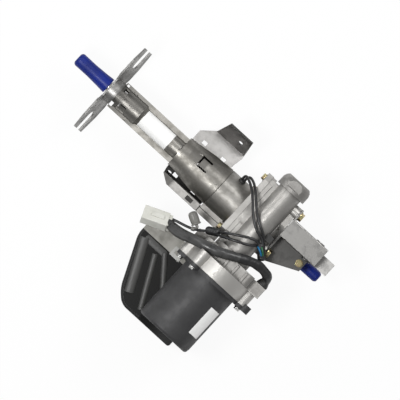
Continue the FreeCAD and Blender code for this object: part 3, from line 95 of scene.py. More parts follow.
# %% The routes of the cables and leads
worm_station = 299    # where the worm crosses the column, in millimetres along X
routes = {
    "power_cable": [
        (62, -58, 46), (62.3, -52.8, 49.8), (58.5, -48.8, 56.5), (50, -46.8, 64), (39, -46.3, 71),
        (27, -49.4, 77.5), (15.4, -54.6, 82.7), (3, -61.4, 86.7), (-10.2, -68, 89), (-24.2, -73.8, 90.1),
        (-38.8, -78, 89), (-52.4, -81.2, 83.7), (-64.6, -85, 73.5), (-75.8, -88.8, 60), (-86.2, -91, 47.5),
        (-95.6, -91.3, 38), (-105.2, -90.4, 33)],
    "sensor_lead": [
        (-67.2, 32.7, 17.4), (-67.2, 37.6, 20), (-65.6, 40.2, 26.5), (-61, 39.4, 35), (-54, 36, 43.8),
        (-45, 30.3, 52), (-34.5, 20.5, 60), (-23, 8, 67.5), (-11, -2.5, 71), (0.5, -9.5, 71),
        (9.5, -12, 68.8), (17, -14.2, 65.6), (23.3, -20.5, 64.2)],
    "second_sensor_lead": [
        (-62.8, 32.7, 17.4), (-62.7, 38, 20.2), (-61.2, 42, 26), (-57, 42.8, 34.5), (-50.2, 40.2, 43.8),
        (-42, 34.5, 52.5), (-31, 24, 60), (-19, 12, 66.5), (-6.5, 2.5, 70.8), (5.5, -3.5, 70.3),
        (13.5, -7.5, 66.5), (18.5, -13, 61.5), (22.7, -19.9, 58.8)],
    "control_lead": [
        (-45, -51.5, 47), (-37, -47.5, 58), (-29, -42.5, 66), (-18, -35.5, 71), (-6, -28.5, 72.5),
        (5, -23, 70.5), (13, -20.5, 67), (19.5, -24.3, 64.2)],
    "second_control_lead": [
        (-45, -56, 47), (-37, -53.5, 57), (-29, -50, 65), (-18, -45, 70.5), (-6, -40, 72),
        (4, -35.5, 70.5), (12.5, -30, 66), (19.2, -24.5, 59.5)],
    "branch_lead": [
        (-107, -83.7, 29), (-97, -80.3, 30.5), (-87, -77.8, 32), (-76, -74.6, 34.5), (-66, -69.8, 38),
        (-58, -64, 41.8), (-51, -58.5, 45)],
}
print("routes:", len(routes))

# %% [markdown]
# A curve gets its thickness from its bevel depth, and each point's radius multiplies it. So with a depth of
# 1 m a point's radius is the cord's own radius in metres there, and the cable can swell along its way.

# %% The cords
def from_worm(point):
    """A point in millimetres from the worm's station, in metres from the frame's origin."""
    return Vector((point[0] + worm_station, point[1], point[2])) / 1000


def soft_tube(name, points, radii):
    """A curve object along NURBS points in metres, whose round section may swell from point to point."""
    curve = bpy.data.curves.new(name, "CURVE")
    curve.dimensions = "3D"
    curve.resolution_u = 8
    curve.bevel_depth = 1
    curve.bevel_resolution = 5
    curve.use_fill_caps = True
    spline = curve.splines.new("NURBS")
    spline.points.add(len(points) - 1)
    for control, point, radius in zip(spline.points, points, radii):
        control.co = (*point, 1)
        control.radius = radius
    spline.order_u = 3
    spline.use_endpoint_u = True
    tube = bpy.data.objects.new(name, curve)
    bpy.context.scene.collection.objects.link(tube)
    return tube


sleeve_diameter = 0.013
lead_diameter = 0.0038
diameters = {name: sleeve_diameter if name == "power_cable" else lead_diameter for name in routes}
radius_share = 0.54    # of the diameter, so the leads look as full as they do in the photograph
loose_sleeve_radii = [0.0073, 0.0076, 0.0079, 0.0080, 0.0079, 0.0078, 0.0080, 0.0084, 0.0087, 0.0082, 0.0066]
cords = {}
for name, route in routes.items():
    radii = [diameters[name] * radius_share] * len(route)
    if name == "power_cable":
        radii[-len(loose_sleeve_radii):] = loose_sleeve_radii
    cords[name] = soft_tube(name + "_cord", [from_worm(point) for point in route], radii)
    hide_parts(name)
    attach(cords[name], "root")
    print(name, "has", len(route), "points")

# %% [markdown]
# By the gland the power cable is bound with cloth tape. The turns overlap, so the binding swells a little at
# every turn. It is a second tube along the first part of the same route.

# %% The binding of the power cable
bound_radii = [0.0072, 0.0066, 0.0079, 0.0067, 0.0081, 0.0068, 0.0082, 0.0070]
bound_points = [from_worm(point) for point in routes["power_cable"][:len(bound_radii)]]
cable_binding = soft_tube("cable_binding", bound_points, bound_radii)
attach(cable_binding, "root")
print("the binding follows", len(bound_points), "points")

# %% [markdown]
# Each cord is listed with its real length and where it leaves the object. The power cable ends in its
# white connector. The thin leads end under the black tape that ties them together.

cord_facts = {
    "power_cable": (0.2158, "connector", [nodes["power_connector"], cable_binding]),
    "sensor_lead": (0.1385, "object", []),
    "second_sensor_lead": (0.1389, "object", []),
    "control_lead": (0.0834, "object", []),
    "second_control_lead": (0.0838, "object", []),
    "branch_lead": (0.0644, "object", []),
}
for name, (length, far_end, moving_along) in cord_facts.items():
    print(name, length, "m")

# %% [markdown]
# ## Helpers for solid pieces
# An operator acts on everything that is selected, so each of these helpers first selects only what it works
# on. A modifier is applied as soon as it is set, and a Boolean modifier uses up the piece it cuts with.

# %% Select, add a box, apply a modifier
def deselect():
    """Leaves nothing selected, so that the next operator only works on what it adds."""
    bpy.ops.object.select_all(action="DESELECT")


def pick(thing):
    """Selects the thing alone and makes it the active one."""
    deselect()
    thing.select_set(True)
    bpy.context.view_layer.objects.active = thing


def box(name, low, high):
    """A cube stretched between two corners in millimetres, with its origin at the frame's origin."""
    deselect()
    middle = [(a + b) / 2000 for a, b in zip(low, high)]
    bpy.ops.mesh.primitive_cube_add(size=1, location=middle)
    made = bpy.context.object
    made.name = name
    made.scale = [(b - a) / 1000 for a, b in zip(low, high)]
    bpy.ops.object.transform_apply(location=True, rotation=True, scale=True)
    return made


def modified(thing, kind, **settings):
    """Adds a modifier with those settings and applies it."""
    pick(thing)
    modifier = thing.modifiers.new(kind.lower(), kind)
    for key, value in settings.items():
        setattr(modifier, key, value)
    bpy.ops.object.modifier_apply(modifier=modifier.name)


def carved(thing, tool, operation="DIFFERENCE"):
    """Takes the tool away from the thing, or adds it, and removes the tool."""
    modified(thing, "BOOLEAN", object=tool, operation=operation, solver="EXACT")
    bpy.data.objects.remove(tool)
    return thing


print("helpers for boxes and modifiers")

# %% [markdown]
# ## The moulded cover
# The control unit sits beside the motor under a glossy moulding. It is a box with a slanted side, a cut
# corner and a step, hollowed by the same box made smaller, with a bay for the round motor. Bisect cuts the
# slanted side, and Bevel rounds the upright corners.

# %% Round some edges, cut along a plane
def edges_rounded(thing, wanted, width, segments):
    """Bevels the edges whose middle and direction, in millimetres, pass the test called wanted."""
    pick(thing)
    bpy.ops.object.mode_set(mode="EDIT")
    bpy.ops.mesh.select_all(action="DESELECT")
    bpy.ops.mesh.select_mode(type="EDGE")
    bpy.ops.object.mode_set(mode="OBJECT")
    corners = thing.data.vertices
    for edge in thing.data.edges:
        start, finish = (1000 * corners[index].co for index in edge.vertices)
        edge.select = wanted((start + finish) / 2, (finish - start).normalized())
    bpy.ops.object.mode_set(mode="EDIT")
    bpy.ops.mesh.bevel(offset=width / 1000, segments=segments)
    bpy.ops.object.mode_set(mode="OBJECT")


def sliced(thing, point, normal):
    """Cuts off what lies on the side of the plane that the normal points to, and closes the cut."""
    pick(thing)
    bpy.ops.object.mode_set(mode="EDIT")
    bpy.ops.mesh.select_all(action="SELECT")
    bpy.ops.mesh.bisect(plane_co=Vector(point) / 1000, plane_no=normal, clear_outer=True, use_fill=True)
    bpy.ops.object.mode_set(mode="OBJECT")


print("helpers for edges and planes")

# %% The cover's block, in millimetres
cover_low = (172, -228, -62)
cover_high = (346, -122, 20)
cover_front = cover_high[1]
spare_front = 12
slant_point, slant_normal = (206.6, -209.6), (-0.9114, -0.4115, 0)
corner_point, corner_normal = (212.5, -216), (-0.70, -0.714, 0)
step_x, step_y = 320, -214


def on_far_corners(middle, along):
    """Whether an edge stands upright at the slanted side's far end."""
    return abs(along.z) > 0.9 and middle.x < 300 and middle.y < -180


def on_near_corner(middle, along):
    """Whether an edge stands upright where the slanted side meets the front one."""
    return abs(along.z) > 0.9 and middle.x < 200 and middle.y < cover_front


def cover_block(name, inset):
    """The cover's outer shape, drawn in on every side by the inset, and longer than needed at the front."""
    low = [value + inset for value in cover_low]
    high = [cover_high[0] - inset, cover_front + spare_front, cover_high[2] - inset]
    block = box(name, low, high)
    sliced(block, (slant_point[0] + inset, slant_point[1], 0), slant_normal)
    sliced(block, (corner_point[0] + inset, corner_point[1] + inset, 0), corner_normal)
    edges_rounded(block, on_far_corners, 9, 6)
    edges_rounded(block, on_near_corner, 7, 5)
    return carved(block, box("step", (step_x - inset, -240, -80), (400, step_y + inset, 80)))


cover = cover_block("unit_cover_moulding", 0)
print("faces of the block:", len(cover.data.polygons))

# %% [markdown]
# A moulding has no sharp rim, so a Bevel modifier rounds every edge. The front alone is an open, sharp end:
# the block was made too long there, and is cut to length after its edges are rounded.

# %% Rounded edges, and the cut at the front
sharp_edges_only = {"limit_method": "ANGLE", "angle_limit": math.radians(50)}
modified(cover, "BEVEL", width=0.0042, segments=6, **sharp_edges_only)
sliced(cover, (0, cover_front, 0), (0, 1, 0))
print("faces with rounded edges:", len(cover.data.polygons))

# %% [markdown]
# Soft ridges stiffen the cover's face, and a low border runs along its front. Each is a cylinder with rounded
# ends that is pressed flat and sunk a little into the face, so that it rises as a hump with no hard edge.

# %% The cover's ridges
def ridge(start, finish, width, rise):
    """A low hump from start to finish in plan, in millimetres, that stands out of the face by the rise."""
    run = Vector(finish) - Vector(start)
    middle = Vector(start) + run / 2
    deselect()
    bpy.ops.mesh.primitive_cylinder_add(vertices=64, radius=width / 2000, depth=run.length / 1000,
                                        rotation=(0, math.pi / 2, math.atan2(run.y, run.x)))
    hump = bpy.context.object
    bpy.ops.object.transform_apply(location=True, rotation=True, scale=True)
    modified(hump, "BEVEL", width=0.0016, segments=4, **sharp_edges_only)
    hump.scale.z = 2 * (1 + sunk_share) * rise / width
    hump.location = (middle.x / 1000, middle.y / 1000, (cover_high[2] - sunk_share * rise) / 1000)
    pick(hump)
    bpy.ops.object.transform_apply(location=True, rotation=True, scale=True)
    return hump


sunk_share = 0.25    # how deep the hump's middle lies in the face, as a share of its rise
ridge_lines = [((183.5, -130), (221.5, -208), 15.0, 2.8), ((211.4, -138), (252, -216), 9.5, 2.4),
               ((221, -127), (256, -170), 9.5, 2.4), ((184, -129), (224, -129), 11.0, 0.9)]
for start, finish, width, rise in ridge_lines:
    carved(cover, ridge(start, finish, width, rise), "UNION")
print("faces with ridges:", len(cover.data.polygons))

# %% [markdown]
# The cover is a shell with one wall thickness. The bay of the motor is cut out of the block, and then the
# same shape, made smaller by one wall all round, is taken away from the inside.

# %% The bay of the motor and the hollow
wall = 3
bay_radius = 0.0489
motor_x, motor_z = 0.299, 0.046


def motor_bay(radius):
    """A cylinder along the motor's axis."""
    deselect()
    bpy.ops.mesh.primitive_cylinder_add(vertices=128, radius=radius, depth=0.3,
                                        location=(motor_x, -0.2, motor_z), rotation=(math.pi / 2, 0, 0))
    return bpy.context.object


carved(cover, motor_bay(bay_radius))
hollow = cover_block("hollow", wall)
carved(hollow, motor_bay(bay_radius + wall / 1000))
carved(cover, hollow)
print("faces of the shell:", len(cover.data.polygons))

# %% [markdown]
# Smooth shading bends the light over the rounded rim. Weighted normals give the large flat faces the last
# word, so that no bright line shows where a flat face meets a narrow one.

# %% Smooth the cover and put it in its place
def smoothed(thing, angle=35):
    """Shades smooth where faces meet below the angle, after making all normals point outwards."""
    pick(thing)
    bpy.ops.object.mode_set(mode="EDIT")
    bpy.ops.mesh.select_all(action="SELECT")
    bpy.ops.mesh.normals_make_consistent(inside=False)
    bpy.ops.object.mode_set(mode="OBJECT")
    bpy.ops.object.shade_smooth_by_angle(angle=math.radians(angle))


smoothed(cover)
modified(cover, "WEIGHTED_NORMAL", keep_sharp=True, weight=90)
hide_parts("unit_cover")
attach(cover, "root")
print("the cover is", [round(1000 * v) for v in cover.dimensions], "mm")

# %% [markdown]
# ## The harness clip
# A push-in clip holds the branch lead. Its head is an egg-shaped barrel, and a band with a thin neck goes
# round the lead. The barrel is a short cord whose radius follows a profile along the clip's own axis, because
# that gives a round form with blunt ends. Rods and a torus are joined to it.

# %% Rods, meshes from curves, and joining
def aligned(direction):
    """The Euler turn that takes +Z to that direction."""
    return direction.to_track_quat("Z", "Y").to_euler()


def rod(name, start, finish, radius):
    """A straight cylinder between two points in metres."""
    deselect()
    run = finish - start
    bpy.ops.mesh.primitive_cylinder_add(vertices=32, radius=radius, depth=run.length,
                                        location=(start + finish) / 2, rotation=aligned(run))
    made = bpy.context.object
    made.name = name
    return made


def meshed(curve_object):
    """The same object as a mesh."""
    pick(curve_object)
    bpy.ops.object.convert(target="MESH")
    return bpy.context.object


def joined(thing, others):
    """One object made of the thing and the others."""
    pick(thing)
    for other in others:
        other.select_set(True)
    bpy.ops.object.join()
    return thing


print("helpers for rods and joined pieces")

# %% The barrel and its collar
clip_head = from_worm((-90, -54.5, 41))
clip_foot = from_worm((-67, -66.5, 40))
clip_axis = (clip_foot - clip_head).normalized()
barrel_profile = [(0, 1.0), (0.3, 3.6), (1.4, 5.6), (3.4, 6.8), (7, 7.2), (12, 7.2), (17, 6.9), (19.5, 6.1),
                  (21, 3.0)]    # millimetres along the axis, and the radius there
barrel_points = [clip_head + clip_axis * station / 1000 for station, _ in barrel_profile]
barrel_radii = [radius / 1000 for _, radius in barrel_profile]
barrel = meshed(soft_tube("harness_clip_barrel", barrel_points, barrel_radii))
deselect()
bpy.ops.mesh.primitive_torus_add(major_radius=0.0064, minor_radius=0.0013, major_segments=40,
                                 minor_segments=12, location=clip_head + clip_axis * 0.0195,
                                 rotation=aligned(clip_axis))
collar = bpy.context.object
print("the barrel has", len(barrel.data.polygons), "faces")

# %% The neck, and the band round the lead
band_half_width = 0.0025
lead_before, lead_after = (from_worm(point) for point in routes["branch_lead"][3:5])
band_middle = (lead_before + lead_after) / 2
band_reach = (lead_after - lead_before).normalized() * band_half_width
neck = rod("neck", clip_head + clip_axis * 0.018, clip_foot, 0.0022)
band = rod("band", band_middle - band_reach, band_middle + band_reach, 0.0033)
link = rod("link", clip_foot, band_middle, 0.0018)
smoothed(joined(barrel, [collar, neck, band, link]), 50)
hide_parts("harness_clip")
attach(barrel, "root")
print("clip from", [round(1000 * v) for v in clip_head], "to", [round(1000 * v) for v in clip_foot], "mm")

# %% [markdown]
# ## Backing strip
# Through the left ear's long window and its joint with the rail one sees a sheet lying in shade and no floor.
# A flat strip just behind both stands for it, coloured dark with painted shade, as only its upper side is
# ever seen.

# %% The backing strip
backing = box("ear_backing", (185, -49.5, -17), (218, -38.5, -14.5))
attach(backing, "root")
print("backing strip", round(1000 * backing.dimensions.x), "mm long")

# %% [markdown]
# ## Taped joints
# Where the leads meet, black tape binds them. A binding is a tube along its axis that swells and shrinks by
# a few tenths of a millimetre. At the larger joint a blue and a green wire show between the turns.

# %% The taped joints
def binding(name, start, finish, radius, turns):
    """A lumpy wrapped tube from start to finish, closed at both ends."""
    steps = 2 * turns
    points = [start.lerp(finish, step / steps) for step in range(steps + 1)]
    radii = [radius * (1.04 if step % 2 else 0.97) for step in range(steps + 1)]
    radii[0] = radii[-1] = radius * 0.75
    return soft_tube(name, points, radii)


wrap_ends = {"taped_joint_wrap": ((18.5, -19.5, 62.5), (37, -38, 58)),
             "clump": ((-55, -60, 43.5), (-38, -50, 53))}
wrap_radius = 0.0064
lead_joint, lead_clump = (meshed(binding(name, from_worm(start), from_worm(finish), wrap_radius, 5))
                          for name, (start, finish) in wrap_ends.items())
smoothed(joined(lead_joint, [lead_clump]), 60)
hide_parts("taped_joints")
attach(lead_joint, "root")
print("the wraps have", len(lead_joint.data.polygons), "faces")

# %% The two wires that show
wire_radius = 0.0014
wire_routes = {
    "blue_wire": [
        (19.5, -26.5, 66), (22.5, -27.5, 69.2), (28, -30.3, 68.2), (32.5, -33.5, 64.2), (34, -36, 60)],
    "green_wire": [
        (22.5, -22.5, 66), (26.5, -25, 68.4), (31.5, -29, 66.4), (35, -34, 62), (36, -37, 58)],
}
wires = {}
for name, route in wire_routes.items():
    wires[name] = meshed(soft_tube(name, [from_worm(point) for point in route], [wire_radius] * len(route)))
    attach(wires[name], "root")
print("wires:", len(wires))

# %% [markdown]
# ## Labels
# Two white labels are stuck on: one round the jacket, one on the motor. Both are bare. Each is a flat grid
# pressed onto the CAD piece below it with a Shrinkwrap modifier, and then given its thickness.

# %% The labels
def label(name, place, length, width, turn, target, body):
    """A label whose long side lies across the view, pressed down along its own -Z onto the target."""
    deselect()
    bpy.ops.mesh.primitive_grid_add(x_subdivisions=60, y_subdivisions=60, size=1, location=place,
                                    rotation=turn)
    sticker = bpy.context.object
    sticker.name = name
    sticker.scale = (length, width, 1)
    bpy.ops.object.transform_apply(location=False, rotation=False, scale=True)
    modified(sticker, "SHRINKWRAP", target=target, wrap_method="PROJECT", use_project_x=False,
             use_project_y=False, use_project_z=True, use_negative_direction=True,
             use_positive_direction=False, offset=0.00012)
    modified(sticker, "SOLIDIFY", thickness=0.0001, offset=-1)
    pick(sticker)
    bpy.ops.object.transform_apply(location=True, rotation=True, scale=True)
    smoothed(sticker, 40)
    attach(sticker, body)
    return sticker


label_angle = math.radians(55)
label_reach = 0.05    # from the motor's axis to a little above the can
motor_label_place = (motor_x + label_reach * math.sin(label_angle), -0.1655,
                     motor_z + label_reach * math.cos(label_angle))
labels = [
    label("jacket_label", (0.0875, -0.0004, 0.03), 0.055, 0.0290, (0, 0, 0),
          nodes["upper_jacket_front"], "upper_column"),
    label("motor_label", motor_label_place, 0.0265, 0.051, (0, label_angle, 0), nodes["motor_can"], "root"),
]
print("labels:", [[round(1000 * v, 1) for v in sticker.dimensions] for sticker in labels])

# %% [markdown]
# ## How a finish is written
# A finish is a node tree. Written as Python expressions it reads like arithmetic: `Signal` wraps the output
# of a node, and each operator adds a Math node. `Finish` makes every other kind of node with one method.

# %% Signal and Finish
class Signal:
    """A node's output that Python's operators can join to numbers and to other outputs."""

    def __init__(self, finish, socket):
        self.finish = finish
        self.socket = socket

    def math(self, operation, first, second):
        """A Math node on two values or outputs."""
        return self.finish.node("Math", {"operation": operation}, {0: first, 1: second})

    def __add__(self, other):
        return self.math("ADD", self, other)

    def __sub__(self, other):
        return self.math("SUBTRACT", self, other)

    def __mul__(self, other):
        return self.math("MULTIPLY", self, other)

    def __rsub__(self, other):
        return self.math("SUBTRACT", other, self)

    __radd__ = __add__
    __rmul__ = __mul__


class Finish:
    """A material put together node by node, in metres on Object coordinates."""

    def __init__(self, name):
        self.material = bpy.data.materials.new(name)
        self.material.use_nodes = True
        self.tree = self.material.node_tree
        self.shader = self.tree.nodes["Principled BSDF"]
        self.place = self.node("TexCoord", {}, {}, output="Object")

    def node(self, kind, settings, values, output=0):
        """A node with its settings, then its sockets' values or links. Stops are those of a colour ramp."""
        node = self.tree.nodes.new("ShaderNode" + kind)
        for key, value in settings.items():
            if key == "stops":
                ramp = node.color_ramp.elements
                while len(ramp) < len(value):
                    ramp.new(1)
                for stop, (position, colour) in zip(ramp, value):
                    stop.position = position
                    stop.color = (*colour, 1)
            else:
                setattr(node, key, value)
        for key, value in values.items():
            self.feed(node.inputs[key], value)
        return Signal(self, node.outputs[output])

    def feed(self, socket, value):
        """Links an output to the socket, or sets the socket's own value."""
        if isinstance(value, Signal):
            self.tree.links.new(value.socket, socket)
        else:
            socket.default_value = value

    def noise(self, size, detail=3.0, roughness=0.5, stretch=(1, 1, 1)):
        """Noise from 0 to 1 with lumps of about that size in metres."""
        place = self.place
        if stretch != (1, 1, 1):
            place = self.node("Mapping", {}, {"Vector": place, "Scale": stretch})
        return self.node("TexNoise", {}, {"Vector": place, "Scale": 1 / size, "Detail": detail,
                                          "Roughness": roughness})

    def between(self, signal, low, high, bottom=0.0, top=1.0):
        """The signal's range from low to high, spread over bottom to top."""
        spread = {"Value": signal, "From Min": low, "From Max": high, "To Min": bottom, "To Max": top}
        return self.node("MapRange", {"interpolation_type": "SMOOTHSTEP"}, spread)

    def colours(self, mask, first, second):
        """First colour where the mask is 0 and second where it is 1."""
        as_colour = [c if isinstance(c, Signal) else (*c, 1) for c in (first, second)]
        return self.node("Mix", {"data_type": "RGBA"}, {0: mask, 6: as_colour[0], 7: as_colour[1]}, output=2)

    def rounded(self, radius):
        """Normals that make edges look rounded to that radius."""
        return self.node("Bevel", {"samples": 8}, {"Radius": radius})

    def edges(self, radius):
        """1 at edges and creases within that radius and 0 on open faces, for the dirt and painted shade that
        darken them.
        """
        smooth = self.node("Bevel", {"samples": 8}, {"Radius": radius})
        plain_normal = self.node("NewGeometry", {}, {}, output="Normal")
        likeness = self.node("VectorMath", {"operation": "DOT_PRODUCT"}, {0: smooth, 1: plain_normal},
                             output="Value")
        return self.between(1 - likeness, 0.01, 0.22)

    def bump(self, height, depth, normal=None):
        """Relief of that depth in metres, where height goes from 0 to 1."""
        values = {"Height": height, "Distance": depth, "Strength": 1.0}
        if normal is not None:
            values["Normal"] = normal
        return self.node("Bump", {}, values)

    def set(self, **values):
        """Sets the shader's own sockets, with underscores for the spaces in their names."""
        for key, value in values.items():
            socket = self.shader.inputs[key.replace("_", " ")]
            if isinstance(value, tuple) and len(value) == 3:
                value = (*value, 1)
            self.feed(socket, value)
        return self.material


finishes = {}
print("a finish takes its sizes in metres")

# %% [markdown]
# ## Cast aluminium
# Die-cast housings have a fine grain from the mould, a slightly uneven grey and softly rounded edges. Three
# noises of different size give grain, flow marks and stains. A Bevel node rounds the look of the edges, and a
# second one darkens edges and creases with dirt and painted shade. Where a casting or a pressing looks paler
# or darker beyond some station because of how the light falls on it, that painted light and shade goes into
# its colour.

# %% Cast aluminium
def with_painted_light_and_shade(finish, colour, light, painted_light_and_shade):
    """The colour with painted light and shade. Each entry is an axis, two places in metres and a share: from
    the first place to the second the colour goes to that share of the light one, below 1 for shade and above
    1 for light."""
    for axis, start, end, left_over in painted_light_and_shade:
        station = finish.node("SeparateXYZ", {}, {0: finish.place}, output=axis)
        mask = finish.node("MapRange", {}, {"Value": station, "From Min": start, "From Max": end})
        colour = finish.colours(mask, colour, tuple(value * left_over for value in light))
    return colour


def cast_aluminium(name, light, dark, roughness, painted_light_and_shade=()):
    """A casting whose colour wanders from light to dark."""
    finish = Finish(name)
    stains = finish.between(finish.noise(0.030, 4.0, 0.6), 0.35, 0.7)
    flow = finish.noise(0.006, 3.0, 0.55, stretch=(1, 0.4, 1))
    grain = finish.noise(0.0009, 2.0, 0.6)
    mask = stains * 0.6 + flow * 0.4
    # Dirt and painted shade: edges and creases go towards a much darker tone.
    edge_dirt_and_shade = tuple(value * 0.28 for value in dark)
    colour = with_painted_light_and_shade(finish, finish.colours(mask, light, dark), light, painted_light_and_shade)
    colour = finish.colours(finish.edges(0.0011) * 0.8, colour, edge_dirt_and_shade)
    relief = finish.bump(grain, 0.00012, finish.rounded(0.0009))
    relief = finish.bump(flow, 0.0003, relief)
    finishes[name] = finish.set(Base_Color=colour, Metallic=0.75, Normal=relief,
                                Roughness=finish.between(stains * 0.5 + grain * 0.5, 0.2, 0.8,
                                                         roughness - 0.06, roughness + 0.08))


cast_aluminium("cast_aluminium", (0.48, 0.47, 0.45), (0.33, 0.32, 0.305), 0.44)
cast_aluminium("dull_aluminium", (0.22, 0.215, 0.20), (0.15, 0.148, 0.13), 0.5)
cast_aluminium("housing_aluminium", (0.42, 0.41, 0.39), (0.28, 0.272, 0.26), 0.44)
cast_aluminium("cap_aluminium", (0.34, 0.332, 0.318), (0.23, 0.223, 0.212), 0.44)
# Painted light: the broad band round the motor's flange is paler, where the light falls on it.
cast_aluminium("adaptor_aluminium_painted_light", (0.36, 0.352, 0.336), (0.24, 0.232, 0.22), 0.5,
               painted_light_and_shade=[("Y", -0.0838, -0.0842, 1.35)])
print("cast aluminium")

# %% [markdown]
# ## Plated and bare steel
# The tubes were drawn, so their fine scratches run along X. The pressed brackets have a cloudier plating.
# The same function serves both, with another grain direction, colour and gloss.

# %% Steel
def steel(name, light, dark, roughness, drawn=(1, 1, 1), edge=0.0004, clouds=0.018, painted_light_and_shade=()):
    """Steel whose colour wanders from light to dark. An edge of 0 leaves out the rounding and the painted
    shade and dirt at edges, which a sheet of 2 mm is too thin for, and makes the scratches coarser and
    shallower."""
    finish = Finish(name)
    cloud = finish.between(finish.noise(clouds, 4.0, 0.62), 0.3, 0.72)
    size, detail, rough = (0.003, 2.0, 0.6) if edge else (0.006, 1.0, 0.5)
    scratch = finish.noise(size, detail, rough, stretch=drawn)
    colour = with_painted_light_and_shade(finish, finish.colours(cloud * 0.75 + scratch * 0.25, light, dark), light, painted_light_and_shade)
    if edge:
        # Dirt and painted shade: edges and creases go towards a much darker tone.
        edge_dirt_and_shade = tuple(value * 0.25 for value in dark)
        colour = finish.colours(finish.edges(1.6 * edge) * 0.85, colour, edge_dirt_and_shade)
        relief = finish.bump(scratch, 0.00001, finish.rounded(edge))
    else:
        relief = finish.bump(scratch, 0.000003)
    finishes[name] = finish.set(Base_Color=colour, Metallic=1.0, Normal=relief,
                                Roughness=finish.between(cloud * 0.5 + scratch * 0.5, 0.25, 0.75,
                                                         roughness - 0.07, roughness + 0.1))


along_column = (0.06, 1, 1)
# Painted shade: the jacket's head is darker, and the end by the plate darker still to dim its highlight.
steel("jacket_steel", (0.30, 0.29, 0.27), (0.175, 0.167, 0.15), 0.43, drawn=along_column, edge=0,
      painted_light_and_shade=[("X", 0.060, 0.054, 0.62), ("X", 0.030, 0.012, 0.4)])
steel("bracket_steel", (0.33, 0.32, 0.305), (0.23, 0.222, 0.21), 0.4)
# Painted shade on the gusset, which lies in shadow, and painted light on the end tab, which is tilted to the
# lamp.
steel("channel_steel_painted_light_and_shade", (0.33, 0.325, 0.315), (0.27, 0.265, 0.255), 0.4,
      painted_light_and_shade=[("Y", 0.0105, 0.0080, 0.3), ("X", 0.4035, 0.4060, 1.5)])
# Painted shade on the outer tab, which is turned away from the light.
steel("right_ear_steel_painted_shade", (0.43, 0.42, 0.41), (0.33, 0.322, 0.31), 0.4, painted_light_and_shade=[("Y", 0.0595, 0.0600, 0.3)])
# Painted shade on the steep wall beside the tube, and on the end, which the real bracket bends away from the
# light but which is flat here.
steel("left_ear_steel_painted_shade", (0.36, 0.35, 0.335), (0.26, 0.253, 0.243), 0.42,
      painted_light_and_shade=[("X", 0.1620, 0.1560, 0.28), ("Y", -0.0385, -0.0360, 0.1)])
steel("sensor_steel", (0.35, 0.34, 0.32), (0.23, 0.222, 0.205), 0.5, drawn=along_column, edge=0)
# Painted shade: near-black steel for the strip behind the left ear's window.
steel("backing_painted_shade", (0.09, 0.088, 0.083), (0.06, 0.058, 0.055), 0.5, edge=0)
# Painted shade: the collar is darker, to dim its highlight.
steel("plate_steel", (0.36, 0.355, 0.345), (0.22, 0.217, 0.21), 0.42, edge=0,
      painted_light_and_shade=[("X", 0.003, 0.008, 0.4)])
steel("clamp_steel", (0.30, 0.30, 0.29), (0.20, 0.20, 0.19), 0.35, edge=0)
steel("shaft_steel", (0.52, 0.51, 0.49), (0.38, 0.37, 0.355), 0.28, drawn=along_column)
steel("bearing_steel", (0.62, 0.61, 0.60), (0.5, 0.49, 0.48), 0.2)
steel("spring_steel", (0.33, 0.32, 0.31), (0.2, 0.19, 0.19), 0.35)
steel("bright_zinc", (0.72, 0.72, 0.70), (0.5, 0.5, 0.49), 0.24, clouds=0.004)
steel("lamination_steel", (0.3, 0.29, 0.28), (0.18, 0.17, 0.16), 0.4)
steel("copper_wire", (0.75, 0.36, 0.18), (0.5, 0.2, 0.09), 0.3)
print("steels")

# %% [markdown]
# ## Yellow zinc
# The housing bolts are yellow-passivated: gold with green and pink tints that change over a few millimetres.

# %% Gold zinc
gold = Finish("gold_zinc")
tint = gold.noise(0.0035, 2.0, 0.5)
gold_colour = gold.node("ValToRGB", {"stops": [(0.25, (0.42, 0.43, 0.22)), (0.5, (0.52, 0.44, 0.24)),
                                              (0.75, (0.50, 0.36, 0.28))]}, {"Fac": tint})
finishes["gold_zinc"] = gold.set(Base_Color=gold_colour, Metallic=1.0, Roughness=0.27,
                                 Normal=gold.rounded(0.0004))
print("gold zinc")

# %% [markdown]
# ## Paint, plastic and rubber
# These are not metals: a base colour that varies a little, a gloss and a fine relief. The cover is a glossy
# black moulding, the motor a satin black coat, and the caps are soft blue polyethylene.

# %% Paint, plastic and rubber
def plain(name, light, dark, roughness, relief=0.00003, grain=0.0012, clouds=0.02, stretch=(1, 1, 1)):
    """A finish without metal, whose relief has that depth and that grain in metres."""
    finish = Finish(name)
    cloud = finish.between(finish.noise(clouds, 3.0, 0.55), 0.3, 0.7)
    speck = finish.noise(grain, 2.0, 0.5, stretch=stretch)
    finishes[name] = finish.set(Base_Color=finish.colours(cloud, light, dark),
                                Roughness=finish.between(speck * 0.6 + cloud * 0.4, 0.25, 0.75,
                                                         roughness - 0.06, roughness + 0.06),
                                Normal=finish.bump(speck, relief, finish.rounded(0.0004)))
    return finish


plain("motor_black", (0.036, 0.036, 0.037), (0.027, 0.027, 0.028), 0.56, relief=0.00004, grain=0.0016)
plain("black_rubber", (0.016, 0.016, 0.016), (0.025, 0.025, 0.024), 0.55, relief=0.00008)
plain("cable_sleeve", (0.026, 0.026, 0.026), (0.060, 0.060, 0.059), 0.30, relief=0.0005, grain=0.007)
plain("lead_sleeve", (0.012, 0.012, 0.013), (0.022, 0.022, 0.023), 0.36, relief=0.0002, grain=0.004)
plain("black_tape", (0.010, 0.010, 0.011), (0.02, 0.02, 0.021), 0.36, relief=0.0009, grain=0.005)
plain("white_nylon", (0.64, 0.64, 0.595), (0.56, 0.56, 0.51), 0.4)
plain("grey_nylon", (0.22, 0.216, 0.20), (0.14, 0.137, 0.127), 0.42, clouds=0.012)
plain("gear_nylon", (0.72, 0.66, 0.50), (0.62, 0.55, 0.40), 0.45)
blue_plastic = plain("blue_cap", (0.003, 0.017, 0.21), (0.002, 0.012, 0.15), 0.46, relief=0.0001, grain=0.009,
                     stretch=(0.15, 1, 1))
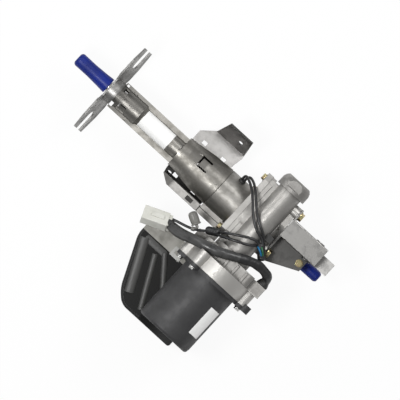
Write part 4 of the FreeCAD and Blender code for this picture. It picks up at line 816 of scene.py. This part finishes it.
blue_plastic.set(Specular_IOR_Level=0.32)
plain("label_white", (0.92, 0.92, 0.91), (0.88, 0.88, 0.87), 0.45, relief=0.00002)
plain("wire_blue", (0.01, 0.16, 0.34), (0.008, 0.12, 0.28), 0.4)
plain("wire_green", (0.02, 0.14, 0.05), (0.015, 0.1, 0.04), 0.4)
plain("board_green", (0.02, 0.16, 0.06), (0.015, 0.12, 0.045), 0.35)
print(len(finishes), "finishes")

# %% [markdown]
# The cover's face keeps the gloss of its mould, while its rounded rim and the ridges have been scuffed dull.
# So the finish looks at the height above the face. It goes from glossy to dull within a tenth of a millimetre
# above the face, and within a fiftieth below it.

# %% The cover's gloss and scuffed ridges
moulding = Finish("gloss_black")
height = moulding.node("SeparateXYZ", {}, {0: moulding.place}, output="Z")
above_face = height - cover_high[2] / 1000
scuffed = moulding.between(above_face, 0.00002, 0.00012)
worn_rim = moulding.between(above_face, -0.000001, -0.00002)
mould_grain = moulding.noise(0.0016, 2.0, 0.5)
finishes["gloss_black"] = moulding.set(
    Base_Color=moulding.colours(scuffed, (0.006, 0.006, 0.0055), (0.046, 0.046, 0.044)),
    Roughness=moulding.between(scuffed * 0.9 + mould_grain * 0.1, 0.0, 1.0, 0.13, 0.46) + worn_rim * 0.55,
    Normal=moulding.bump(mould_grain, 0.000004))
print("the face is at", cover_high[2], "mm")

# %% [markdown]
# ## Dressing the pieces
# Every CAD node takes the finish of its material slot in the record, and a few take one of their own, because
# pieces of one alloy differ in tone, and because some carry painted light and shade. A finish goes into the
# object's material slots, and no shape changes.

# %% Give each CAD node its finish
def dress(piece, slot_name, finish_name=None):
    """Gives a new piece the finish of the record's material slot that it belongs to, or the finish named
    instead.
    """
    piece.data.materials.clear()
    piece.data.materials.append(finishes[finish_name or slot_name])


node_slot = {part["node"]: part["material_slot"] for part in frame["record"]["subparts"]}
own_finish = {"unit_base": "dull_aluminium", "unit_clamp": "clamp_steel", "lower_bracket": "channel_steel_painted_light_and_shade",
              "right_ear": "right_ear_steel_painted_shade", "left_ear": "left_ear_steel_painted_shade", "sensor_housing": "sensor_steel",
              "gear_housing": "housing_aluminium", "worm_end_cap": "cap_aluminium",
              "adaptor": "adaptor_aluminium_painted_light"}
for name, node in nodes.items():
    node.data.materials.clear()
    node.data.materials.append(finishes[own_finish.get(name, node_slot[name])])
for name, cord in cords.items():
    dress(cord, node_slot[name])
for piece, name in ((cover, "unit_cover"), (barrel, "harness_clip"), (lead_joint, "taped_joints"),
                    (cable_binding, "taped_joints")):
    dress(piece, node_slot[name])
dress(backing, node_slot["left_ear"], "backing_painted_shade")
dress(wires["blue_wire"], "blue_cap", "wire_blue")
dress(wires["green_wire"], "board_green", "wire_green")
for sticker in labels:
    dress(sticker, "white_nylon", "label_white")
print("nodes dressed:", len(nodes))

# %% [markdown]
# ## Floor and light
# The floor is a large pale plane just under the lowest piece. Light Path lets the camera see it nearly white,
# while what mirrors it sees the plain lit floor. A little of its shadow stays visible.

# %% Floor
def pale_ground(name, strength):
    """A matt ground that the camera sees nearly white, with that share of glow mixed in."""
    finish = Finish(name)
    path = finish.node("LightPath", {}, {}, output="Is Camera Ray")
    seen = path + Signal(finish, path.socket.node.outputs["Is Transmission Ray"])
    finish.set(Base_Color=(0.86, 0.86, 0.86), Roughness=0.9, Specular_IOR_Level=0.0)
    glow = finish.node("Emission", {}, {"Color": (1, 1, 1, 1), "Strength": 1.0})
    mixed = finish.node("MixShader", {}, {0: seen * strength, 1: Signal(finish, finish.shader.outputs[0]),
                                          2: glow})
    finish.tree.links.new(mixed.socket, finish.tree.nodes["Material Output"].inputs["Surface"])
    return finish.material


floor_gap = 0.0006
deselect()
bpy.ops.mesh.primitive_plane_add(size=8, location=(*view_centre, cad_low.z - floor_gap))
floor = bpy.context.object
floor.name = "floor"
floor.data.materials.append(pale_ground("pale_floor", 0.93))
print("floor at", round(1000 * floor.location.z, 1), "mm")

# %% [markdown]
# A grey world fills the shadows. The tubes show a broad bright band a little left of their middle, so the
# large soft lamp hangs nearly overhead, to the left. A weaker one at the upper right lifts the other side.

# %% World and lamps
world = bpy.data.worlds.new("studio")
world.use_nodes = True
bpy.context.scene.world = world
sky = world.node_tree.nodes["Background"]
sky.inputs["Color"].default_value = (1, 1, 1, 1)
sky.inputs["Strength"].default_value = 0.34


def lamp(name, place, size, power):
    """A round area lamp of that size in metres and power in watts, aimed at the middle of the view."""
    light = bpy.data.lights.new(name, "AREA")
    light.shape = "DISK"
    light.size = size
    light.energy = power
    holder = bpy.data.objects.new(name, light)
    holder.location = place
    aim = Vector((*view_centre, 0)) - Vector(place)
    holder.rotation_euler = aim.to_track_quat("-Z", "Y").to_euler()
    bpy.context.scene.collection.objects.link(holder)


lamp("key_lamp", (-0.12, -0.39, 1.35), 0.42, 11)
lamp("fill_lamp", (0.5, 0.95, 1.15), 0.8, 9)
lamp("side_lamp", (-1.0, 0.1, 0.8), 0.4, 3)
print("lamps: 3")
